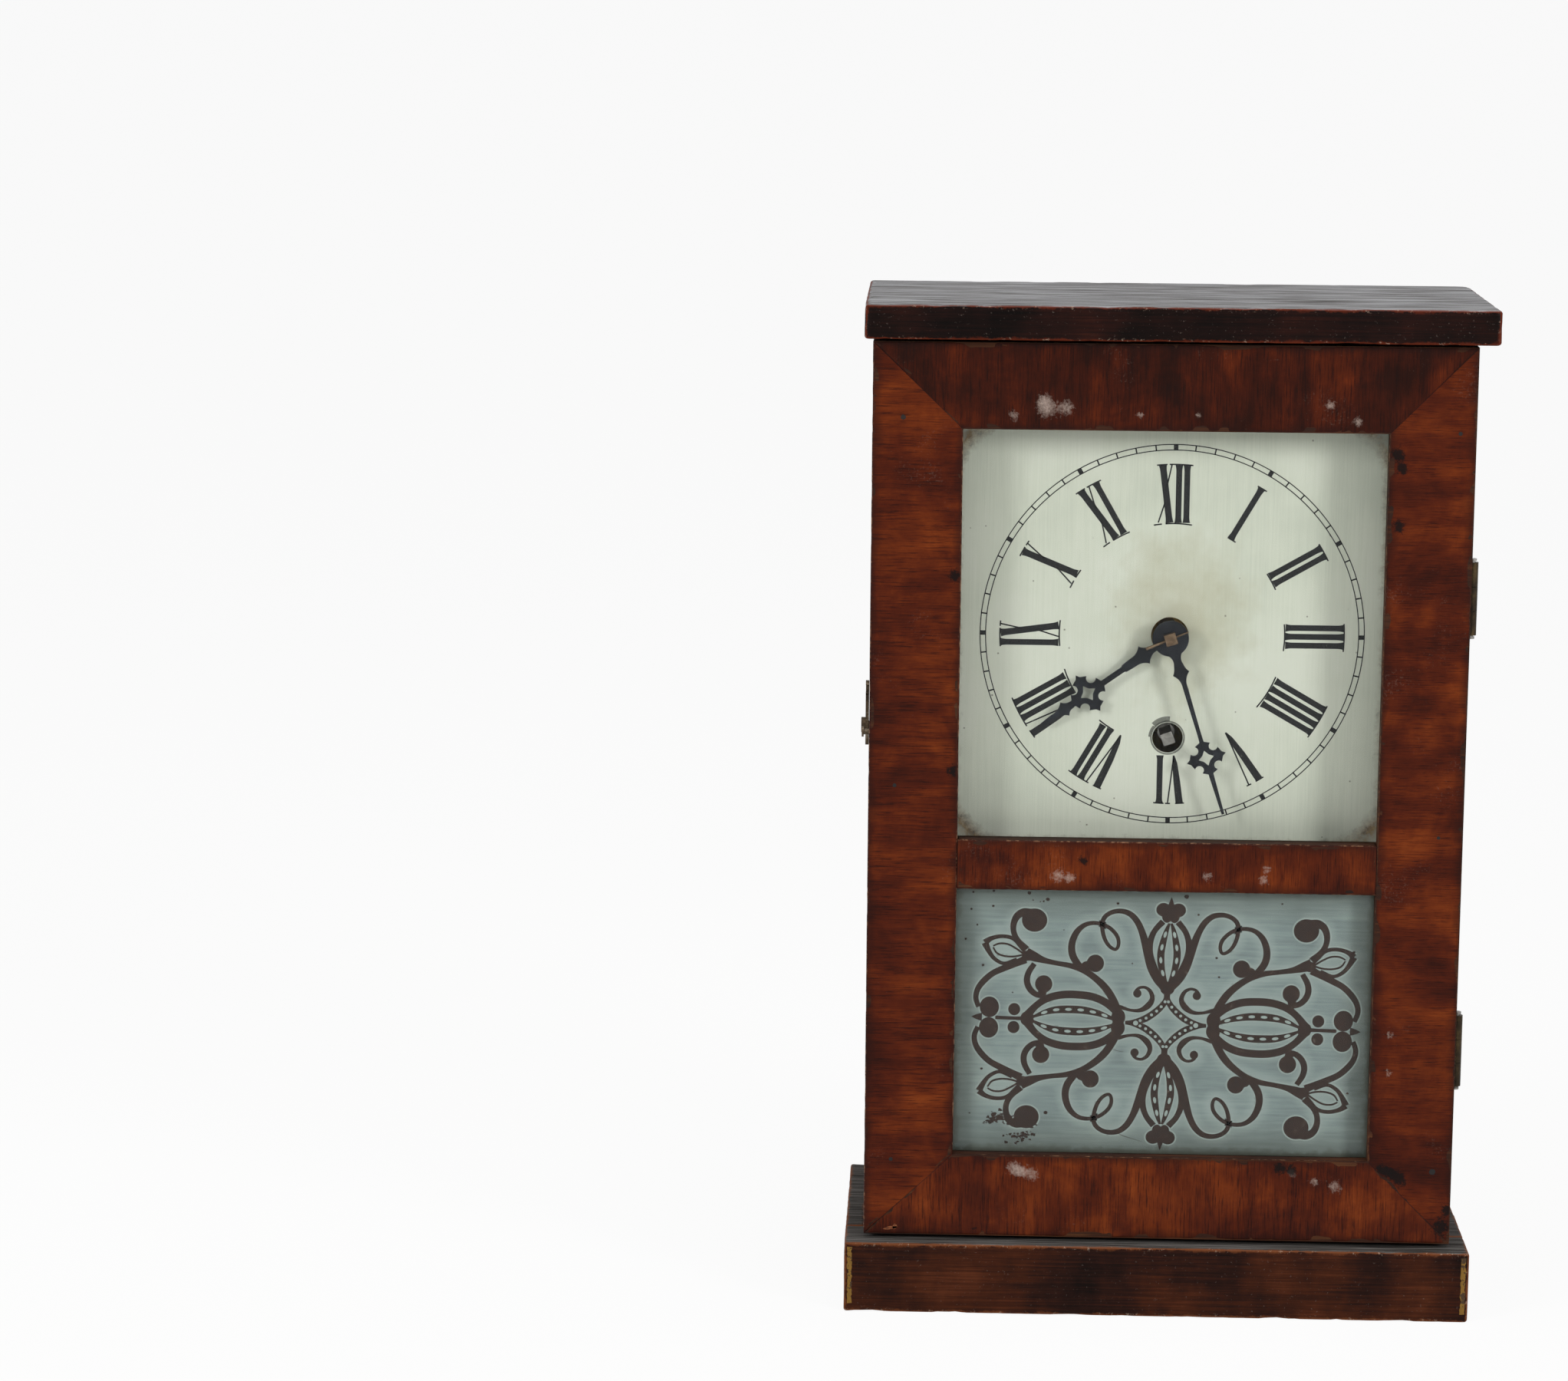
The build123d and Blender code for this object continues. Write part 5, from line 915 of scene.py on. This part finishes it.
def on_tablet(spots):
    """Places about the ornament's middle, turned by its tilt and moved onto the tablet."""
    c, s = math.cos(ORNAMENT_TILT), math.sin(ORNAMENT_TILT)
    stretched = np.asarray(spots) * np.array(ORNAMENT_STRETCH)
    return stretched @ np.array([[c, s], [-s, c]]) + np.array(ORNAMENT_CENTRE)


def tablet_strip(path, front, thick):
    """A strip of the ornament from a smooth path about the middle."""
    return strip(np.column_stack([on_tablet(path[:, :2]), path[:, 2]]), front, thick)


def ball(spot, radii, front, thick):
    """A round knot of the ornament."""
    return disc(spot, radii, front, thick, sides=32)


def beads_along(path, step, first, last):
    """Middles and turns of beads set a step apart along the middle of a rib."""
    run = np.concatenate([[0.0], np.cumsum(np.hypot(*np.diff(path[:, :2], axis=0).T))])
    count = int((run[-1] - first - last) / step)
    at = first + (run[-1] - first - last) * (np.arange(count) + 0.5) / count
    x = np.interp(at, run, path[:, 0])
    z = np.interp(at, run, path[:, 1])
    lean = np.gradient(path[:, :2], axis=0)
    turn = np.arctan2(np.interp(at, run, lean[:, 1]), np.interp(at, run, lean[:, 0]))
    return zip(zip(x, z), turn)


# Distances behind the pane, and the films' own thickness
pane_back = box_mm("tablet_glass")[1][1]
bead_front = pane_back + 0.015
film_front = pane_back + 0.06
rim_front = pane_back + 0.09
ground_front = pane_back + 0.1
FILM_THICK = 0.012
RIM_THICK = 0.004
GROUND_THICK = 0.05
RIM_REACH = 0.42
CURVE_STEP = 0.5
ornament_shapes = []
halo_shapes = []
bead_shapes = []
drawn = []
# Each stroke lies a hair in front of the last, so that no two faces share a plane where strokes cross
LAYER = 0.0002


def lay_film(make, *shape):
    """Adds a stroke or a ball of the ornament in front of the last one."""
    ornament_shapes.append(make(*shape, film_front - LAYER * len(ornament_shapes), FILM_THICK))


def lay_halo(make, *shape):
    """Adds the pale rim of a stroke or a ball in front of the last one: a painted halo of light round the ornament."""
    halo_shapes.append(make(*shape, rim_front - LAYER * len(halo_shapes), RIM_THICK))


def lay_beads(path, step, size, ends, turn, sides):
    """Adds beads along a rib, which stop the two given distances from its ends."""
    for centre, angle in beads_along(path, step, *ends):
        bead_shapes.append(disc(on_tablet(centre), size, bead_front, FILM_THICK, angle + turn, sides))


# Each stroke and ball is a dark film of painted shade, with a pale rim round it that is a painted halo of light
for flip_x in (1, -1):
    for flip_z in (1, -1):
        mirror = np.array([flip_x, flip_z, 1.0])
        for rows in QUARTER_PATHS:
            path = curve(np.array(rows) * mirror, CURVE_STEP)
            lay_film(tablet_strip, path)
            lay_halo(tablet_strip, path + np.array([0, 0, 2 * RIM_REACH]))
            drawn.append(on_tablet(path[:, :2]))
            if rows is SIDE_RIB or rows is END_RIB:
                lay_beads(path, BEAD_STEP, BEAD_SIZE, BEAD_ENDS, ORNAMENT_TILT, 14)
            if rows is STAR_SIDE:
                lay_beads(path, STAR_BEAD_STEP, STAR_BEAD_SIZE, STAR_BEAD_ENDS, 0.0, 12)
        for centre, radii in QUARTER_BALLS:
            spot = on_tablet(np.array(centre) * mirror[:2])
            lay_film(ball, spot, radii)
            lay_halo(ball, spot, (radii[0] + RIM_REACH, radii[1] + RIM_REACH))
            drawn.append(spot[None])
    lay_film(tablet_strip, curve(np.array(SIDE_NECK) * np.array([flip_x, 0.0, 1.0]), CURVE_STEP))
    lay_film(tablet_strip, np.array(SIDE_TIP) * np.array([flip_x, 1, 1]))
    lay_film(tablet_strip, np.array(END_TIP) * np.array([1, flip_x, 1]))
    bead_shapes.append(disc(on_tablet((-8.9 * flip_x, 0.0)), STAR_PEARL, bead_front, FILM_THICK, 0.0, 16))
make_piece("tablet_ornament", joined(ornament_shapes), shade_and_dirt_film, "door")
make_piece("ornament_halos", joined(halo_shapes), painted_halo, "door")
make_piece("ornament_beads", joined(bead_shapes), bead_bloom, "door")

# Ground face behind the ornament, a fine grid that knows how near the ornament is
FACE_LAP = 0.35
GROUND_STEP = 0.9
open_low = np.array([left_high[0], bottom_high[2]]) - FACE_LAP
open_high = np.array([right_low[0], box_mm("door_middle_rail")[0][2]]) + FACE_LAP
ground_low = np.array([open_low[0], ground_front, open_low[1]])
ground_high = np.array([open_high[0], ground_front + GROUND_THICK, open_high[1]])
ground_points, ground_quads = board_grid(ground_high - ground_low, (0.3, 0.05, 0.3), GROUND_STEP)
ground_points = ground_points + ground_low
strokes_at = np.concatenate(drawn)
flat_at = ground_points[:, [0, 2]]
ornament_gap = np.concatenate([np.sqrt(((part[:, None, :] - strokes_at[None, :, :]) ** 2).sum(-1).min(1))
                               for part in np.array_split(flat_at, 40)])
rim_gap = np.minimum(flat_at - open_low, open_high - flat_at).min(1)
make_piece("tablet_ground_face", (ground_points, ground_quads.tolist()), bloom, "door",
           {"near": np.clip(ornament_gap - 1.0, 0, 20), "edge": rim_gap})

# Thin marks on the door's front, and on the films behind the tablet's pane
MARK_PROUD = 0.02
MARK_THICK = 0.05
BLOTS_EACH = 60
mark_front = left_low[1] - VENEER_PROUD - MARK_PROUD


def blots(places, front, seed):
    """Irregular flat spots: many small ones scattered round each (x, z, size)."""
    dice = np.random.default_rng(seed)
    shapes = []
    for x, z, size in places:
        for k in range(BLOTS_EACH):
            away = dice.normal(0, 0.6 * size, 2) * (1.0, 0.38)
            share = dice.uniform(0.03, 0.15)
            radii = (size * share * dice.uniform(1.0, 2.0), size * share)
            shapes.append(disc((x + away[0], z + away[1]), radii, front - LAYER * k, FILM_THICK,
                               dice.uniform(-0.3, 0.3), 11, 0.35, int(dice.integers(1 << 30))))
    return shapes


# Bare wood where the corner of the lower rail has chipped
chips = [disc((-80.4, 24.9), (2.0, 0.55), mark_front, MARK_THICK, 0.25, 9, 0.3, 31),
         disc((-78.9, 25.5), (0.9, 0.6), mark_front, MARK_THICK, 1.0, 8, 0.3, 32)]
chip_wood = flat_ink("bared_mahogany_chip", ["#8A5430", "#7A4424"], "#4A2412", 1.2, 0.56, 0.65)
make_piece("corner_chip", joined(chips), chip_wood, "door")

NAIL_HOLES = [(-79.2, 271.5, 0.75), (83.5, 268.5, 0.6), (-80.5, 161.5, 0.6), (-80.3, 46.5, 0.6), (82.5, 45.5, 0.9),
              (81.0, 148.0, 0.5)]
nail_holes = [disc((x, z), (r, r), mark_front, MARK_THICK, 0.0, 16, 0.12, i)
              for i, (x, z, r) in enumerate(NAIL_HOLES)]
make_piece("nail_holes", joined(nail_holes), soot, "door")

# Dirt that has got behind the tablet: smudges at the lower left, single specks, and two scratches
SMUDGES = [(-47.3, 58.6, 3.4), (-41.0, 52.6, 3.0), (-39.0, 56.1, 2.0), (-50.6, 57.0, 1.5), (-44.5, 57.2, 1.8)]
SPECKS = [(-39.7, 128.0, 0.55), (-34.2, 126.1, 0.6), (-38.6, 125.8, 0.25), (-35.4, 125.5, 0.33), (-36.4, 125.4, 0.2),
          (-13.2, 125.2, 0.45), (-56.5, 128.0, 0.35), (-50.4, 128.5, 0.4), (-50.5, 123.8, 0.4), (-57.0, 122.8, 0.35),
          (-55.2, 118.0, 0.3), (-58.6, 113.6, 0.4), (-53.3, 105.6, 0.45), (-53.3, 73.5, 0.4), (-33.7, 60.1, 0.6),
          (-44.3, 97.3, 0.25), (-29.2, 116.8, 0.2), (-8.5, 106.8, 0.25), (-56.7, 59.6, 0.25), (7.3, 127.6, 0.7),
          (11.0, 122.1, 0.35), (16.7, 108.9, 0.4), (17.6, 103.0, 0.35), (35.9, 125.8, 0.3), (57.7, 111.3, 0.45),
          (57.0, 67.7, 0.4), (44.0, 58.0, 0.25), (59.3, 80.0, 0.3)]
SCRATCHES = [[(-15.3, 55.5, 0.06), (-10.0, 53.2, 0.16), (-4.6, 51.6, 0.05)],
             [(-14.8, 80.5, 0.05), (-12.4, 79.7, 0.13), (-10.6, 79.4, 0.05)]]
SMUDGE_IN_FRONT = 0.004
tablet_dirt = blots(SMUDGES, film_front - SMUDGE_IN_FRONT, 5)
tablet_dirt += [disc((x, z), (r, r * 0.9), film_front, FILM_THICK, 0.0, 12, 0.15, i)
                for i, (x, z, r) in enumerate(SPECKS)]
tablet_dirt += [strip(np.array(scratch), film_front, FILM_THICK) for scratch in SCRATCHES]
make_piece("tablet_dirt", joined(tablet_dirt), shade_and_dirt_film, "door")

# Ochre size left at both ends of the plinth's front, in strips of uneven width
SIZE_ROWS = 26
SIZE_AWAY = 92.3
SIZE_THICK = 0.05
size_shapes = []
for side, seed in ((-1, 21), (1, 22)):
    dice = np.random.default_rng(seed)
    height = np.linspace(2.6, 20.2, SIZE_ROWS)
    middle = side * SIZE_AWAY + dice.uniform(-0.12, 0.12, SIZE_ROWS)
    width = 1.3 + dice.uniform(-0.3, 0.35, SIZE_ROWS)
    size_shapes.append(strip(np.column_stack([middle, height, width]), plinth_low[1], SIZE_THICK))
make_piece("ochre_strips", joined(size_shapes), ochre, "case")

# Floor, light and camera


def seen_rays(tree):
    """1 for a ray from the camera, off a shine or through a pane, and 0 for the rays that light the object."""
    ray = add(tree, "LightPath")
    seen = add(tree, "Math", {"operation": "MAXIMUM", 0: ray.outputs["Is Camera Ray"],
                              1: ray.outputs["Is Glossy Ray"]})
    return add(tree, "Math", {"operation": "MAXIMUM", 0: seen, 1: ray.outputs["Is Transmission Ray"]})


def white_floor():
    """Plain pale paper: a matt white that the camera sees nearly full white, with soft shadows."""
    material, tree = new_material("pale_paper_floor")[:2]
    seen = seen_rays(tree)
    share = add(tree, "Math", {"operation": "MULTIPLY", 0: seen, 1: FLOOR_SHARE})
    matt = add(tree, "BsdfDiffuse", {"Color": "#F2F2F0"})
    glow = add(tree, "Emission", {"Color": (1, 1, 1, 1), "Strength": 1.0})
    both = add(tree, "MixShader", {0: share, 1: matt, 2: glow})
    add(tree, "OutputMaterial", {"Surface": both})
    return material


# How much of the floor's white is its own glow, half its side in metres, and the strength of the world's light
FLOOR_SHARE = 0.93
FLOOR_HALF = 25.0
AMBIENT = 0.25
floor_mesh = bpy.data.meshes.new("floor")
floor_mesh.from_pydata([(-FLOOR_HALF, -FLOOR_HALF, 0), (FLOOR_HALF, -FLOOR_HALF, 0), (FLOOR_HALF, FLOOR_HALF, 0),
                        (-FLOOR_HALF, FLOOR_HALF, 0)], [], [(0, 1, 2, 3)])
floor_mesh.materials.append(white_floor())
floor = bpy.data.objects.new("floor", floor_mesh)
bpy.context.scene.collection.objects.link(floor)

world = bpy.data.worlds.new("studio")
bpy.context.scene.world = world
world.use_nodes = True
world.node_tree.nodes.clear()
seen = seen_rays(world.node_tree)
ambient = add(world.node_tree, "Background", {"Color": (1, 1, 1, 1), "Strength": AMBIENT})
backdrop = add(world.node_tree, "Background", {"Color": (1, 1, 1, 1), "Strength": 1.0})
sky = add(world.node_tree, "MixShader", {0: seen, 1: ambient, 2: backdrop})
add(world.node_tree, "OutputWorld", {"Surface": sky})


def soft_box(name, at, size, power):
    """A square lamp that faces the middle of the clock."""
    lamp = bpy.data.lights.new(name, "AREA")
    lamp.shape = "SQUARE"
    lamp.size = size
    lamp.energy = power
    holder = bpy.data.objects.new(name, lamp)
    bpy.context.scene.collection.objects.link(holder)
    ahead = np.array(LAMPS_FACE) - np.array(at)
    ahead = ahead / np.linalg.norm(ahead)
    right = np.cross(ahead, (0, 0, 1))
    right = right / np.linalg.norm(right)
    over = np.cross(right, ahead)
    turn = Matrix(np.column_stack([right, over, -ahead]).tolist()).to_4x4()
    turn.translation = at
    holder.matrix_world = turn


# The point that the lamps face, then each lamp's place and side in metres, and its watts
LAMPS_FACE = (0.0, 0.0, 0.16)
soft_box("left_box", (-1.15, -1.0, 0.75), 0.5, 10.6)
soft_box("right_box", (1.15, -1.0, 0.65), 0.4, 11.4)
soft_box("top_box", (0.0, -0.35, 1.5), 0.8, 5.6)

camera_data = bpy.data.cameras.new("camera")
camera_data.sensor_width = SENSOR
camera_data.lens = FOCAL_PIXELS * SENSOR / PHOTO_WIDTH
camera_data.clip_start = 0.05
camera_data.clip_end = 50
camera = bpy.data.objects.new("camera", camera_data)
bpy.context.scene.collection.objects.link(camera)
look = np.array([math.sin(CAMERA_YAW) * math.cos(CAMERA_PITCH), math.cos(CAMERA_YAW) * math.cos(CAMERA_PITCH),
                 math.sin(CAMERA_PITCH)])
level = np.array([math.cos(CAMERA_YAW), -math.sin(CAMERA_YAW), 0.0])
above = np.cross(level, look)
rolled = math.cos(CAMERA_ROLL) * level - math.sin(CAMERA_ROLL) * above
rolled_up = math.sin(CAMERA_ROLL) * level + math.cos(CAMERA_ROLL) * above
stance = Matrix(np.column_stack([rolled, rolled_up, -look]).tolist()).to_4x4()
stance.translation = [value * MM for value in CAMERA_AT]
camera.matrix_world = stance
bpy.context.scene.camera = camera
bpy.context.scene.view_settings.view_transform = "Standard"
